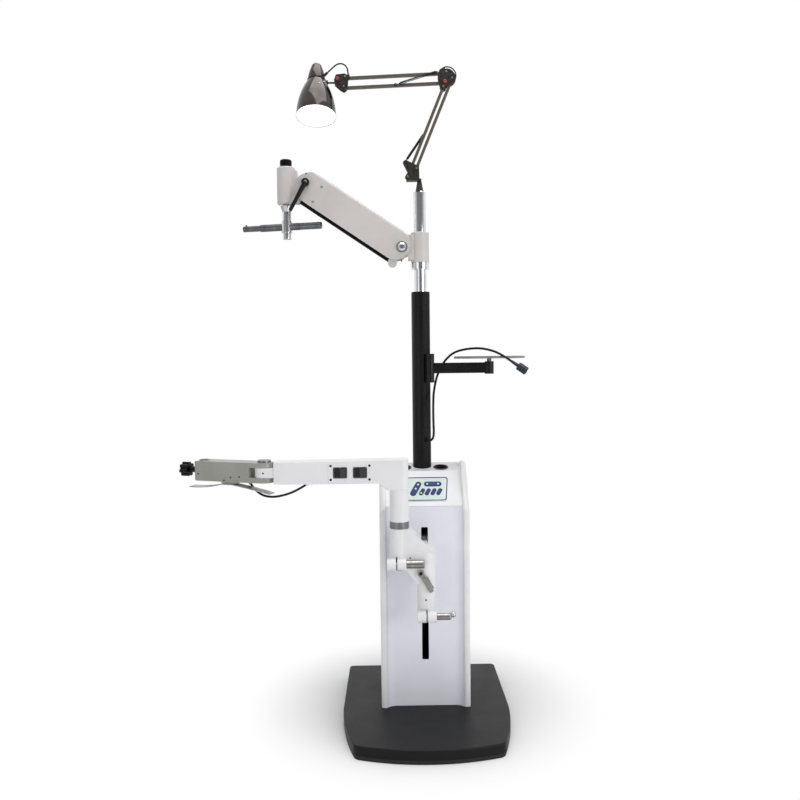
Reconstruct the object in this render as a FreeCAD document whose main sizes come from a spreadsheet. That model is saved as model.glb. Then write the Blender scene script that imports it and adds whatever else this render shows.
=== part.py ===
import FreeCAD, Part
import math
import os
import Sketcher

# Instrument stand for an eye examination room.
# Frame: millimetres, Z up, front faces -Y, X to the right; the origin lies on the floor under the mast axis.

SIZES = {
    # Base
    "base_back_half": 244, "base_back_reach": 184, "base_side_half": 247, "base_side_reach": 140,
    "base_corner_half": 205, "base_corner_reach": 377, "base_side_bulge": 9, "base_nose_bulge": 35,
    "base_height": 40, "base_plate_thick": 12, "base_inset": 2, "base_corner_round": 26,
    "base_back_round": 14, "base_edge_round": 4,
    # Side panels
    "cabinet_half": 133, "pillar_thick": 20, "pillar_front": 150, "pillar_bend_drop": 5,
    "peak_reach": 41, "peak_rise": 15, "ridge_reach": 30, "ridge_rise": 16, "cabinet_back": 105,
    "shoulder_drop": 16, "pillar_edge_round": 8, "peak_round": 14,
    # Front panel
    "panel_front": 135, "sheet_thick": 3, "cove_width": 24, "cove_depth": 11, "cove_bow": 2.75,
    "slot_half": 10, "slot_low": 180, "slot_top_drop": 62, "slot_round": 3, "seam_height": 642,
    "seam_gap": 0.6,
    # Console cover and deck
    "deck_front_reach": 49, "deck_front_rise": 93, "lip_height": 11, "lip_thick": 2, "mast_clear": 0.6,
    "well_half_gap": 57, "well_reach": 18, "well_bore": 19, "well_wall": 1.2, "well_depth": 58,
    "well_flange": 23, "well_flange_thick": 2, "well_fit": 0.2,
    # Keypad
    "pad_half": 76, "pad_share": 0.672, "pad_thick": 2.4, "pad_skew": 8, "pad_low_share": 0.134,
    "pad_round": 9, "key_gap": 0.4, "key_lift": 0.7, "key_bed": 0.6, "big_key_length": 55,
    "big_key_width": 18, "big_key_x": -23.5, "big_key_share": 0.5, "big_key_turn": 63,
    "wide_key_length": 53, "wide_key_width": 17, "wide_key_x": 28, "wide_key_share": 0.696,
    "small_key_length": 26, "small_key_width": 12, "small_key_x": -5, "small_key_pitch": 17.2,
    "small_key_share": 0.37, "small_key_turn": 62,
    # Rear cover and inlet
    "inlet_half_width": 14, "inlet_half_height": 10.5, "inlet_height": 110, "inlet_depth": 16,
    "inlet_flange": 3, "inlet_flange_thick": 2.5, "inlet_fit": 0.3,
    # Guide frame and carriage
    "rod_radius": 8, "rod_half_gap": 52, "rod_reach": 78, "frame_plate_thick": 8, "frame_half": 108,
    "frame_front": 118, "frame_back": 88, "frame_top_drop": 17, "socket_wall": 9, "socket_height": 60,
    "block_half": 70, "block_front": 103, "block_back": 53, "block_low": 427, "block_high": 545,
    "rod_clear": 0.3, "neck_gap": 2.5, "spindle_short": 4, "neck_half": 8, "neck_low": 432,
    "lug_thick": 9, "spindle_radius": 12,
    # Swing bracket
    "swing_reach": 215, "barrel_radius": 26.5, "barrel_offset": 75, "lower_barrel_high": 530,
    "lower_barrel_low": 366, "lower_clamp_low": 333, "upper_barrel_high": 597, "upper_clamp_high": 518,
    "upper_barrel_low": 483, "web_half": 20, "web_step_low": 440, "clamp_radius": 16.5, "clamp_half": 27,
    "upper_clamp_shift": 9, "clamp_gap_half": 2, "swing_fit": 0.3, "clamp_front": 39, "web_front": 25,
    "web_share": 0.9, "relief_left": 16, "relief_front": 13.5, "web_top_left": 47, "web_bottom_left": 60,
    "handle_radius": 9.5, "upper_handle_radius": 12, "handle_length": 43, "upper_handle_length": 52,
    "handle_round": 5, "handle_stud_radius": 5, "handle_ball_radius": 7.5, "handle_ball_rise": 5,
    "handle_stud_length": 30, "handle_gap": 0.4, "stand_off": 0.3,
    # Height lever
    "lever_width": 13, "lever_thick": 8, "lever_length": 62, "lever_turn": 30, "lever_hub_radius": 9.5,
    "lever_x": 16, "lever_z": 472, "blade_length": 38, "blade_thick": 2.5, "blade_width": 16,
    "blade_start": 16, "blade_shift": 4, "lever_stud_radius": 5,
    # Instrument arm
    "column_radius": 27, "collar_high": 616.6, "collar_radius": 27.8, "arm_half": 30,
    "arm_right_low": 729, "arm_right_high": 795, "arm_left_low": 730, "arm_left_high": 791,
    "arm_reach": 352, "arm_end": 27, "arm_round": 4, "arm_end_round": 20, "haunch_low": 709,
    "haunch_reach": 32, "haunch_end": 58, "tongue_low": 748.5, "tongue_high": 776, "elbow_reach": 382,
    "tongue_radius": 27, "arm_spindle_radius": 13, "plug_drop": 8, "column_bore_depth": 60,
    # Switches
    "plate_half_length": 61, "plate_half_height": 26.5, "plate_thick": 2, "plate_centre": 137,
    "plate_rise": 31.5, "rocker_half_gap": 28, "rocker_half_width": 16,
    "rocker_half_height": 12.5, "rocker_depth": 6, "rocker_back_half": 12.5, "rocker_proud": 3.4,
    "rocker_dip": 1.6, "rocker_tilt": 6, "rocker_fit": 0.6, "rocker_well": 11, "rocker_pin": 0.8,
    "rocker_pin_clear": 0.2,
    # Second arm
    "second_half": 27, "second_low": 733, "second_high": 790, "second_length": 217, "second_turn": 20,
    "ear_gap": 0.4, "slot_reach": 36, "second_round": 9, "post_reach": 197, "post_bore": 12,
    "bush_wall": 3, "bush_proud": 2, "elbow_pin_radius": 9, "cap_radius": 19, "cap_thick": 7,
    "cap_round": 2, "knob_radius": 21.5, "knob_thick": 24, "knob_neck_radius": 9, "knob_neck": 20,
    "knob_stud_radius": 5, "knob_stud": 9, "knob_lobe_radius": 6, "knob_core_radius": 16,
    "saddle_front": 34, "saddle_rear": 2, "saddle_thick": 2.5, "saddle_centre": 104, "saddle_flat": 16,
    "saddle_left": 124, "saddle_left_drop": 11, "saddle_right": 136, "saddle_right_drop": 22,
    "saddle_bow": 4, "saddle_right_bow": 1, "block_share": 0.85, "saddle_block": 24,
    "saddle_block_height": 5,
    # Mast
    "mast_radius": 28.5, "mast_top": 1283, "mast_bore": 24, "mast_bush_depth": 90, "flat_distance": 25.5,
    "flat_turn": 50, "pole_clear": 0.1, "mast_edge_round": 2, "grommet_radius": 7, "grommet_length": 4,
    "lead_height": 827,
    # Tray
    "hinge_radius": 12, "hinge_distance": 42, "hinge_web_half": 8, "hinge_low": 1005, "hinge_high": 1093,
    "tray_arm_low": 1033, "tray_arm_high": 1065, "tray_arm_length": 180, "tray_boss_radius": 14,
    "tray_boss_extra": 3, "hinge_pin_radius": 5, "tray_radius": 108, "tray_edge_round": 1,
    "tray_low": 1077, "tray_thick": 3, "tray_rim": 7, "tray_rim_wall": 2, "tray_pin_radius": 7,
    "tray_socket_depth": 24, "tray_gap": 0.3, "tray_arm_side": 10,
    # Device lead
    "lead_radius": 3.5, "lead_step": 10.5, "boot_start": 0.8, "plug_socket": 12, "boot_radius": 5.5,
    "boot_length": 22, "plug_half_width": 10.5, "plug_half_height": 8, "plug_length": 30,
    "plug_round": 3, "plug_taper": 2.5,
    # Pole and hub
    "pole_radius": 19.25, "pole_top": 1588, "pole_low": 1000, "pole_socket_depth": 50, "pole_chamfer": 3,
    "pole_collar_radius": 28.5, "pole_collar_low": 1352, "hub_low": 1372, "hub_high": 1464,
    "hub_radius": 28, "hub_fit": 0.3, "hub_round": 3,
    # Lift arm
    "lift_pivot_x": 56, "lift_pivot_z": 1418, "lift_length": 348, "lift_turn": 33.9,
    "cheek_radius": 47.5, "cheek_inset": 22, "cheek_drop": 3.5, "cover_half": 28, "cover_wall": 3,
    "cover_round": 10, "top_wall_start": 19, "tongue_half": 20, "tongue_disc": 30, "link_offset": 52,
    "link_half": 7, "link_half_thick": 5, "link_eye": 10, "lobe_radius": 14, "link_slot_radius": 20.5,
    "link_slot_half": 5.4, "lobe_web_half": 9, "link_pin": 4, "pin_clear": 0.3, "bolt_radius": 7,
    "bolt_head": 15.5, "bolt_head_height": 9, "bolt_dome": 4, "bolt_flange": 3, "bolt_flange_radius": 17,
    "nut_height": 8, "hub_neck_end": 37, "hub_neck_half": 38, "boss_radius": 15, "boss_half": 24.7,
    # Clamp lever
    "clamp_hub_radius": 11.5, "clamp_hub_height": 17, "clamp_lever_length": 93,
    "clamp_lever_radius": 7.5, "clamp_lever_tip": 5.5, "clamp_lever_turn": 61, "clamp_lever_lift": 10,
    # Head
    "head_x": 407, "head_low": 1552, "head_high": 1664, "head_radius": 28, "head_round": 5,
    "neck_low_z": 1556, "neck_high_z": 1651, "head_neck_reach": 372, "spindle_shaft": 9,
    "head_collar_radius": 20, "head_collar_taper": 14, "head_collar_low": 1530, "head_tube_radius": 14,
    "block_top": 1503, "block_low_z": 1467, "block_radius": 16.5, "block_ring_radius": 13,
    "block_ring_low": 1461, "block_nut_radius": 13.5, "block_nut_low": 1448, "head_knob_radius": 18,
    "head_knob_height": 22, "head_knob_gap": 2, "knob_foot_radius": 12, "knob_flare": 5,
    "knob_flute_radius": 2.6, "knob_round": 6, "head_stud_radius": 6, "head_stud_length": 20,
    "shaft_end": 26, "rod_cross_radius": 11, "rod_cross_left": 86, "rod_cross_right": 111,
    "rod_thin_length": 57, "rod_thin_radius": 9, "rod_turn": 15, "rod_cross_fit": 0.1,
    "rod_pin_radius": 2.5, "rod_pin_rise": 4, "rod_pin_inset": 8, "rod_seat_radius": 10.5,
    "rod_seat_length": 70,
    # Lamp
    "spigot_pin": 6, "spigot_pin_depth": 44, "spigot_rest": 0.3, "spigot_high": 1626, "foot_thick": 6,
    "foot_left": 40, "pin_proud": 1.5, "layer_gap": 0.5, "cheek_1_x": -41, "cheek_1_z": 20,
    "cheek_2_x": -33, "cheek_2_z": 26, "cheek_3_x": -11, "cheek_3_z": 15, "cheek_4_x": 8, "cheek_4_z": 6,
    "cheek_5_x": 9, "cheek_6_x": 4, "cheek_6_z": -24, "cheek_7_x": -26, "cheek_7_z": -11,
    "spigot_low_radius": 12.5, "spigot_high_radius": 5.5, "bar_side": 9, "layer_offset": 5,
    "lamp_plate_in": 10, "lamp_plate_thick": 2, "lamp_pin": 2.6, "lower_length": 290, "lower_turn": 67.5,
    "lower_pivot_x": -9, "lower_pivot_z": 1657, "lower_pair_x": -27, "lower_pair_z": -25,
    "elbow_disc": 28, "elbow_x": -15, "elbow_z": 7, "elbow_pair_round": 9, "upper_x": -18, "upper_z": 19,
    "upper_pair_x": -4, "upper_pair_z": -29, "upper_length": 307, "upper_turn": 2.4,
    "crescent_radius": 23, "crescent_half": 1.7, "crescent_left": 6, "head_stem_radius": 3,
    "stem_block": 10, "stem_block_half": 8, "stem_x": -254, "stem_z": 1917, "stem_in": 9, "tip_1_x": 33,
    "tip_1_z": -9, "tip_2_x": 27, "tip_2_z": 7, "tip_3_z": 10, "tip_4_x": 10, "tip_4_z": 3, "tip_5_x": 7,
    "tip_5_z": 32, "tip_6_x": 3, "tip_6_z": 41, "tip_7_x": 15, "tip_7_z": 35, "tip_8_x": 31,
    "tip_8_z": 21, "cord_block_x": 9.7, "cord_block_rise": 7, "cord_side": 5.5, "cord_rise": 18,
    "shade_gap": 29, "shade_turn": 16, "swivel_radius": 8, "swivel_length": 10, "bead_rise": 1.6,
    "bead_half": 1.7, "shade_mouth": 60, "shade_seam": 27, "shade_neck": 26.5, "shade_crown": 17,
    "shade_wall": 1.6, "bell_height": 119, "neck_height": 58.5, "shade_bulge": 8, "crown_round": 13.5,
    "crown_bulge": 3, "crown_tip": 4, "dome_bulge": 2, "swivel_drop": 6.5, "gland_x": 22.7,
    "gland_z": 20.5, "gland_turn": 47.1, "bulb_flat_share": 0.75, "bulb_front_share": 0.8, "bulb_bow": 3,
    "bulb_radius": 30, "bulb_neck": 13, "bulb_rise": 55, "bulb_shoulder": 95, "spring_radius": 3.2,
    "spring_wire": 0.9, "spring_pitch": 6, "lower_spring_reach": 153, "lower_spring_x": -36,
    "lower_spring_z": 20, "upper_spring_reach": 150, "upper_spring_x": -16, "upper_spring_z": 6,
    "spring_lead": 6, "spring_eye": 4.4, "spring_eye_half": 1.2, "spring_eye_clear": 0.3,
    "lamp_cord_radius": 2.2,
    # Cable between the arms
    "arm_cable_radius": 3.3, "cable_gland_radius": 5, "cable_gland_length": 16, "lamp_gland_radius": 4,
    "lamp_gland_length": 14, "cord_block_half": 4.5, "cord_block_height": 14,
    # How far a cutting shape runs past the piece it cuts
    "overrun": 5,
}

doc = FreeCAD.newDocument("instrument_stand")
sheet = doc.addObject("Spreadsheet::Sheet", "Sizes")
for row, (alias, number) in enumerate(SIZES.items(), start=1):
    sheet.set("A%d" % row, alias)
    sheet.set("B%d" % row, repr(number))
    sheet.setAlias("B%d" % row, alias)
doc.recompute()


class Dim:
    """A length or an angle that knows the sheet's formula it comes from."""

    def __init__(self, text, value):
        self.text = text
        self.value = value

    def __add__(self, other):
        return Dim("(%s + %s)" % (self.text, formula(other)), self.value + number_of(other))

    def __radd__(self, other):
        return Dim("(%s + %s)" % (formula(other), self.text), number_of(other) + self.value)

    def __sub__(self, other):
        return Dim("(%s - %s)" % (self.text, formula(other)), self.value - number_of(other))

    def __rsub__(self, other):
        return Dim("(%s - %s)" % (formula(other), self.text), number_of(other) - self.value)

    def __mul__(self, other):
        return Dim("%s * %s" % (self.text, formula(other)), self.value * number_of(other))

    def __rmul__(self, other):
        return Dim("%s * %s" % (formula(other), self.text), number_of(other) * self.value)

    def __truediv__(self, other):
        return Dim("%s / %s" % (self.text, formula(other)), self.value / number_of(other))

    def __neg__(self):
        return Dim("(0 - %s)" % self.text, -self.value)

    def __float__(self):
        return float(self.value)


def formula(item):
    return item.text if isinstance(item, Dim) else repr(item)


def number_of(item):
    return item.value if isinstance(item, Dim) else item


def sine(angle):
    return Dim("sin(%s)" % formula(angle), math.sin(math.radians(number_of(angle))))


def cosine(angle):
    return Dim("cos(%s)" % formula(angle), math.cos(math.radians(number_of(angle))))


class Sheet:
    """Reads a named cell as a dimension."""

    def __getattr__(self, name):
        return Dim("Sizes." + name, float(sheet.get(name)))


s = Sheet()
HALF = 0.5
QUARTER_TURN = 90
FULL_TURN = 360
X_AXIS = FreeCAD.Vector(1, 0, 0)
Y_AXIS = FreeCAD.Vector(0, 1, 0)
Z_AXIS = FreeCAD.Vector(0, 0, 1)


def bind(item, path, value):
    if isinstance(value, Dim):
        item.setExpression(path, value.text)


def set_size(item, name, value):
    setattr(item, name, number_of(value))
    bind(item, name, value)


def move(item, x=0, y=0, z=0, axis=None, angle=0):
    """Places an object at a point, turned about an axis through that point."""
    turn = FreeCAD.Rotation(axis or Z_AXIS, number_of(angle))
    item.Placement = FreeCAD.Placement(point(x, y, z), turn)
    for path, value in (("x", x), ("y", y), ("z", z)):
        bind(item, "Placement.Base." + path, value)
    if axis is not None:
        bind(item, "Placement.Rotation.Angle", angle)
    return item


def point(x, y, z):
    return FreeCAD.Vector(float(number_of(x)), float(number_of(y)), float(number_of(z)))


def box(name, x0, x1, y0, y1, z0, z1):
    """A block between six limits."""
    item = doc.addObject("Part::Box", name)
    set_size(item, "Length", x1 - x0)
    set_size(item, "Width", y1 - y0)
    set_size(item, "Height", z1 - z0)
    return move(item, x0, y0, z0)


def rod(name, radius, length, x, y, z, along="z", top_radius=None):
    """A cylinder, or a cone with a top radius, from a point along one axis; a minus sign turns it back."""
    if top_radius is None:
        item = doc.addObject("Part::Cylinder", name)
        set_size(item, "Radius", radius)
    else:
        item = doc.addObject("Part::Cone", name)
        set_size(item, "Radius1", radius)
        set_size(item, "Radius2", top_radius)
    set_size(item, "Height", length)
    turns = {"z": (X_AXIS, 0), "-z": (X_AXIS, 2 * QUARTER_TURN), "x": (Y_AXIS, QUARTER_TURN),
             "-x": (Y_AXIS, -QUARTER_TURN), "y": (X_AXIS, -QUARTER_TURN), "-y": (X_AXIS, QUARTER_TURN)}
    axis, angle = turns[along]
    return move(item, x, y, z, axis, angle)


def cut(name, base, *tools):
    """One shape less the others."""
    item = doc.addObject("Part::Cut", name)
    item.Base = base
    item.Tool = tools[0] if len(tools) == 1 else fuse(name + "_tools", *tools)
    item.Refine = True
    return item


def fuse(name, *pieces):
    item = doc.addObject("Part::MultiFuse", name)
    item.Shapes = list(pieces)
    item.Refine = True
    return item


def common(name, first, second):
    item = doc.addObject("Part::Common", name)
    item.Base = first
    item.Tool = second
    return item


def solid(name, shape):
    """A piece whose shape is worked out from the sheet's numbers."""
    item = doc.addObject("Part::Feature", name)
    item.Shape = shape
    return item


def new_body(name):
    body = doc.addObject("PartDesign::Body", name)
    return body


def outline(body, name, plane, points, bulges=None):
    """A closed sketch through points; a bulge turns the side that follows its point into an arc."""
    bulges = bulges or {}
    sketch = body.newObject("Sketcher::SketchObject", name)
    origin_plane = [f for f in body.Origin.OriginFeatures if f.Role == plane][0]
    sketch.AttachmentSupport = (origin_plane, "")
    sketch.MapMode = "FlatFace"
    flat = [FreeCAD.Vector(float(number_of(a)), float(number_of(b)), 0) for a, b in points]
    count = len(flat)
    for i in range(count):
        start, end = flat[i], flat[(i + 1) % count]
        if i in bulges:
            chord = end - start
            side = FreeCAD.Vector(chord.y, -chord.x, 0).normalize() * float(number_of(bulges[i]))
            middle = (start + end) * HALF + side
            turned_back = float(number_of(bulges[i])) < 0
            arc = Part.Arc(end, middle, start) if turned_back else Part.Arc(start, middle, end)
            sketch.addGeometry(arc, False)
        else:
            sketch.addGeometry(Part.LineSegment(start, end), False)
    ends = []
    for i in range(count):
        start = flat[i]
        first, last = (1, 2)
        if i in bulges:
            arc = sketch.Geometry[i]
            if (arc.StartPoint - start).Length > (arc.EndPoint - start).Length:
                first, last = (2, 1)
        ends.append((first, last))
    for i in range(count):
        following = (i + 1) % count
        sketch.addConstraint(Sketcher.Constraint("Coincident", i, ends[i][1], following,
                                                 ends[following][0]))
    for i in range(count):
        for kind, axis, value, here in (("DistanceX", -2, points[i][0], flat[i].x),
                                        ("DistanceY", -1, points[i][1], flat[i].y)):
            if not isinstance(value, Dim) and value == 0:
                sketch.addConstraint(Sketcher.Constraint("PointOnObject", i, ends[i][0], axis))
                continue
            index = sketch.addConstraint(Sketcher.Constraint(kind, -1, 1, i, ends[i][0], here))
            bind(sketch, "Constraints[%d]" % index, value)
    for i, bulge in bulges.items():
        a, b = points[i], points[(i + 1) % count]
        square = "((%s - %s)^2 + (%s - %s)^2)" % (formula(b[0]), formula(a[0]), formula(b[1]),
                                                  formula(a[1]))
        rise = "abs(%s)" % formula(bulge)
        chord = (flat[(i + 1) % count] - flat[i]).Length
        high = abs(float(number_of(bulge)))
        radius = Dim("%s / (8 * %s) + %s / 2" % (square, rise, rise), chord ** 2 / (8 * high) + high / 2)
        index = sketch.addConstraint(Sketcher.Constraint("Radius", i, radius.value))
        bind(sketch, "Constraints[%d]" % index, radius)
    return sketch


def pad(body, name, sketch, length, both_ways=False, back=False):
    """Extrudes a sketch; both_ways keeps it centred on the sketch's plane."""
    item = body.newObject("PartDesign::Pad", name)
    item.Profile = sketch
    set_size(item, "Length", length)
    if both_ways:
        item.Midplane = True
    if back:
        item.Reversed = True
    doc.recompute()
    body.Tip = item
    return item


def pocket(body, name, sketch, length=None):
    """Cuts a sketch right through, both ways."""
    item = body.newObject("PartDesign::Pocket", name)
    item.Profile = sketch
    if length is None:
        item.Type = 1
        item.Midplane = True
    else:
        set_size(item, "Length", length)
        item.Midplane = True
    doc.recompute()
    body.Tip = item
    return item


def revolve(body, name, sketch):
    """Turns a sketch about its own upright axis."""
    item = body.newObject("PartDesign::Revolution", name)
    item.Profile = sketch
    item.ReferenceAxis = (sketch, ["V_Axis"])
    item.Angle = FULL_TURN
    doc.recompute()
    body.Tip = item
    return item


def edge_names(shape, wanted):
    """Names of the edges whose two ends and middle all pass a test."""
    names = []
    for number, edge in enumerate(shape.Edges, start=1):
        first, last = edge.ParameterRange
        spots = [edge.valueAt(first + share * (last - first)) for share in (0, HALF, 1)]
        if all(wanted(spot) for spot in spots):
            names.append("Edge%d" % number)
    return names


def soften(body, name, base, radius, wanted, kind="Fillet"):
    """Rounds or chamfers the edges of a feature that pass a test."""
    names = edge_names(base.Shape, wanted)
    if not names:
        raise RuntimeError("no edge to soften for " + name)
    item = body.newObject("PartDesign::" + kind, name)
    item.Base = (base, names)
    set_size(item, "Radius" if kind == "Fillet" else "Size", radius)
    doc.recompute()
    body.Tip = item
    return item


def near(value, target, slack=0.01):
    return abs(value - float(number_of(target))) < slack


def turned(name, points, rounds=(), bulges=None):
    """A body turned from a half section of (radius, height) points, with rounded rims."""
    body = new_body(name)
    sketch = outline(body, name + "_section", "XZ_Plane", points, bulges)
    last = revolve(body, name + "_turn", sketch)
    for number, (radius, rim, height) in enumerate(rounds):
        last = soften(body, "%s_round_%d" % (name, number), last, radius,
                      lambda p, r=rim, z=height: near(p.z, z) and near(math.hypot(p.x, p.y), r))
    return body


def plate_on_xz(name, points, y0, y1, bulges=None):
    """A flat piece drawn in the upright plane and given thickness from y0 to y1."""
    body = new_body(name)
    sketch = outline(body, name + "_outline", "XZ_Plane", points, bulges)
    pad(body, name + "_pad", sketch, y1 - y0, back=True)
    move(body, 0, y0, 0)
    return body


NODES = []


def node(name, item):
    """Names the finished piece; its label is the name of its file."""
    item.Label = name
    NODES.append((name, item))
    return item


# Base

def base_points(inset):
    """Plan of the base, drawn in from the full outline by an inset."""
    return [(s.base_back_half - inset, s.base_back_reach - inset),
            (-s.base_back_half + inset, s.base_back_reach - inset),
            (-s.base_side_half + inset, -s.base_side_reach),
            (-s.base_corner_half + inset, -s.base_corner_reach + inset),
            (s.base_corner_half - inset, -s.base_corner_reach + inset),
            (s.base_side_half - inset, -s.base_side_reach)]


def make_base():
    for name, inset, low, high in (("base_plate", s.base_inset, 0, s.base_plate_thick),
                                   ("base_cover", s.base_inset * 0, s.base_plate_thick, s.base_height)):
        body = new_body(name + "_body")
        sketch = outline(body, name + "_plan", "XY_Plane", base_points(inset),
                         {2: s.base_side_bulge, 3: s.base_nose_bulge, 4: s.base_side_bulge})
        last = pad(body, name + "_pad", sketch, high - low)
        corner = number_of(s.base_corner_half - inset)
        back = number_of(s.base_back_half - inset)
        last = soften(body, name + "_front_corners", last, s.base_corner_round,
                      lambda p: near(abs(p.x), corner) and p.y < 0)
        last = soften(body, name + "_back_corners", last, s.base_back_round,
                      lambda p: near(abs(p.x), back) and near(p.y, s.base_back_reach - inset))
        if name == "base_cover":
            soften(body, name + "_top_edge", last, s.base_edge_round, lambda p: near(p.z, high - low))
        node(name, move(body, 0, 0, low))


make_base()


# Side panels

DECK_FRONT = s.seam_height + s.deck_front_rise
RIDGE = DECK_FRONT + s.ridge_rise
SHOULDER = RIDGE - s.shoulder_drop
PEAK = RIDGE + s.peak_rise
PILLAR_BEND = s.seam_height - s.pillar_bend_drop


def pillar_points():
    """Side view of a side panel, as (y, z)."""
    return [(-s.pillar_front, s.base_height), (-s.pillar_front, PILLAR_BEND),
            (-s.peak_reach, PEAK), (s.ridge_reach, RIDGE),
            (s.cabinet_back, SHOULDER), (s.cabinet_back, s.base_height)]


def make_pillar(name, side):
    body = new_body(name + "_body")
    sketch = outline(body, name + "_side", "YZ_Plane", pillar_points())
    last = pad(body, name + "_pad", sketch, s.pillar_thick)
    outer = number_of(s.pillar_thick) if side > 0 else 0
    low = number_of(s.base_height - s.seam_gap)
    bend = number_of(PILLAR_BEND - s.seam_gap)
    ridge = number_of(s.ridge_reach + s.seam_gap)
    last = soften(body, name + "_peak", last, s.peak_round,
                  lambda p: near(p.y, -s.peak_reach) and near(p.z, PEAK))
    last = soften(body, name + "_top_edge", last, s.peak_round,
                  lambda p: near(p.x, outer) and p.z > bend and p.y < ridge)
    last = soften(body, name + "_front_edge", last, s.pillar_edge_round,
                  lambda p: near(p.y, -s.pillar_front) and p.z > low and near(p.x, outer))
    last = soften(body, name + "_front_inner_edge", last, s.pillar_edge_round,
                  lambda p: near(p.y, -s.pillar_front) and p.z > low and not near(p.x, outer)
                  and (near(p.x, 0) or near(p.x, s.pillar_thick)))
    start = s.cabinet_half - s.pillar_thick if side > 0 else -s.cabinet_half
    node(name, move(body, start, 0, 0))


make_pillar("pillar_left", -1)
make_pillar("pillar_right", 1)


# Front panel with coved sides and the long slot

def make_front_panel():
    inner = s.cabinet_half - s.pillar_thick
    flat = inner - s.cove_width
    face = -s.panel_front
    slot_low = s.slot_low - s.base_height
    slot_high = s.seam_height - s.slot_top_drop - s.base_height
    body = new_body("front_panel_body")
    points = [(flat, face), (-flat, face), (-inner, face - s.cove_depth), (-inner, face + s.sheet_thick),
              (inner, face + s.sheet_thick), (inner, face - s.cove_depth)]
    sketch = outline(body, "front_panel_section", "XY_Plane", points,
                     {1: s.cove_bow, 5: s.cove_bow})
    pad(body, "front_panel_pad", sketch, s.seam_height - s.base_height)
    slot = outline(body, "front_panel_slot", "XZ_Plane",
                   [(s.slot_half, slot_low), (s.slot_half, slot_high), (-s.slot_half, slot_high),
                    (-s.slot_half, slot_low)])
    last = pocket(body, "front_panel_slot_cut", slot)
    soften(body, "front_panel_slot_round", last, s.slot_round,
           lambda p: near(abs(p.x), s.slot_half) and (near(p.z, slot_low) or near(p.z, slot_high)))
    node("front_panel", move(body, 0, 0, s.base_height))


make_front_panel()

# Console cover: one sheet bent over the sloped face, the deck and the shoulder

SLOPE_Y = s.panel_front - s.deck_front_reach
SLOPE_Z = DECK_FRONT - s.seam_height
SLOPE_ANGLE = Dim("atan2(%s; %s)" % (SLOPE_Z.text, SLOPE_Y.text),
                  math.degrees(math.atan2(SLOPE_Z.value, SLOPE_Y.value)))
SLOPE_LENGTH = SLOPE_Z / sine(SLOPE_ANGLE)
DECK_Y = s.ridge_reach + s.deck_front_reach
DECK_Z = RIDGE - DECK_FRONT
DECK_ANGLE = Dim("atan2(%s; %s)" % (DECK_Z.text, DECK_Y.text),
                 math.degrees(math.atan2(DECK_Z.value, DECK_Y.value)))


def deck_height(reach):
    """Height of the deck's top face at a distance in front of the mast axis."""
    return DECK_FRONT + (s.deck_front_reach - reach) * (DECK_Z / DECK_Y)


def make_console():
    """The bent sheet, drawn from the side: over its top face and back along its underside."""
    inner = s.cabinet_half - s.pillar_thick
    thick = s.sheet_thick / cosine(SLOPE_ANGLE)
    foot = s.seam_height + s.seam_gap
    body = new_body("console_body")
    points = [(-s.panel_front, foot), (-s.deck_front_reach, DECK_FRONT), (s.ridge_reach, RIDGE),
              (s.cabinet_back, SHOULDER), (s.cabinet_back, SHOULDER - thick),
              (s.ridge_reach, RIDGE - thick), (-s.deck_front_reach, DECK_FRONT - thick),
              (-s.panel_front + s.sheet_thick, foot)]
    sketch = outline(body, "console_section", "YZ_Plane", points)
    pad(body, "console_pad", sketch, 2 * inner, both_ways=True)
    return body, inner


def lip_piece(name, side, inner):
    """Raised side lip of the console cover, lying against a side panel."""
    body = new_body(name)
    points = [(-s.panel_front + s.sheet_thick, s.seam_height + s.seam_gap),
              (-s.panel_front, s.seam_height + s.seam_gap),
              (-s.deck_front_reach, DECK_FRONT + s.lip_height),
              (s.ridge_reach - s.lip_height, RIDGE),
              (-s.deck_front_reach, DECK_FRONT - s.sheet_thick)]
    sketch = outline(body, name + "_side", "YZ_Plane", points)
    pad(body, name + "_pad", sketch, s.lip_thick)
    start = inner - s.lip_thick if side > 0 else -inner
    return move(body, start, 0, 0)


def make_console_cover():
    body, inner = make_console()
    deck_turn = DECK_ANGLE
    holes = [rod("mast_hole", s.mast_radius + s.mast_clear, PEAK - s.seam_height, 0, 0, s.seam_height)]
    for side, label in ((-1, "left"), (1, "right")):
        hole = doc.addObject("Part::Cylinder", "well_hole_" + label)
        set_size(hole, "Radius", s.well_bore + s.well_wall + s.well_fit)
        set_size(hole, "Height", 4 * s.overrun)
        shift = 2 * s.overrun
        move(hole, side * s.well_half_gap, -s.well_reach + shift * sine(deck_turn),
             deck_height(s.well_reach) - shift * cosine(deck_turn), X_AXIS, deck_turn)
        holes.append(hole)
    lips = [lip_piece("console_lip_" + label, side, inner) for side, label in ((-1, "left"), (1, "right"))]
    whole = fuse("console_whole", body, *lips)
    node("console_cover", cut("console_cut", whole, *holes))


make_console_cover()


def make_wells():
    """Two round cups, set square to the sloping deck."""
    cups = []
    for side, label in ((-1, "left"), (1, "right")):
        outer = s.well_bore + s.well_wall
        points = [(0, -s.well_depth), (outer, -s.well_depth), (outer, 0), (s.well_flange, 0),
                  (s.well_flange, s.well_flange_thick), (s.well_bore, s.well_flange_thick),
                  (s.well_bore, -s.well_depth + 2 * s.well_wall), (0, -s.well_depth + 2 * s.well_wall)]
        cup = turned("well_cup_" + label, points)
        move(cup, side * s.well_half_gap, -s.well_reach, deck_height(s.well_reach), X_AXIS, DECK_ANGLE)
        cups.append(cup)
    item = doc.addObject("Part::Compound", "well_cups")
    item.Links = cups
    node("well_liners", item)


make_wells()

# Rear cover and mains inlet


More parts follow.
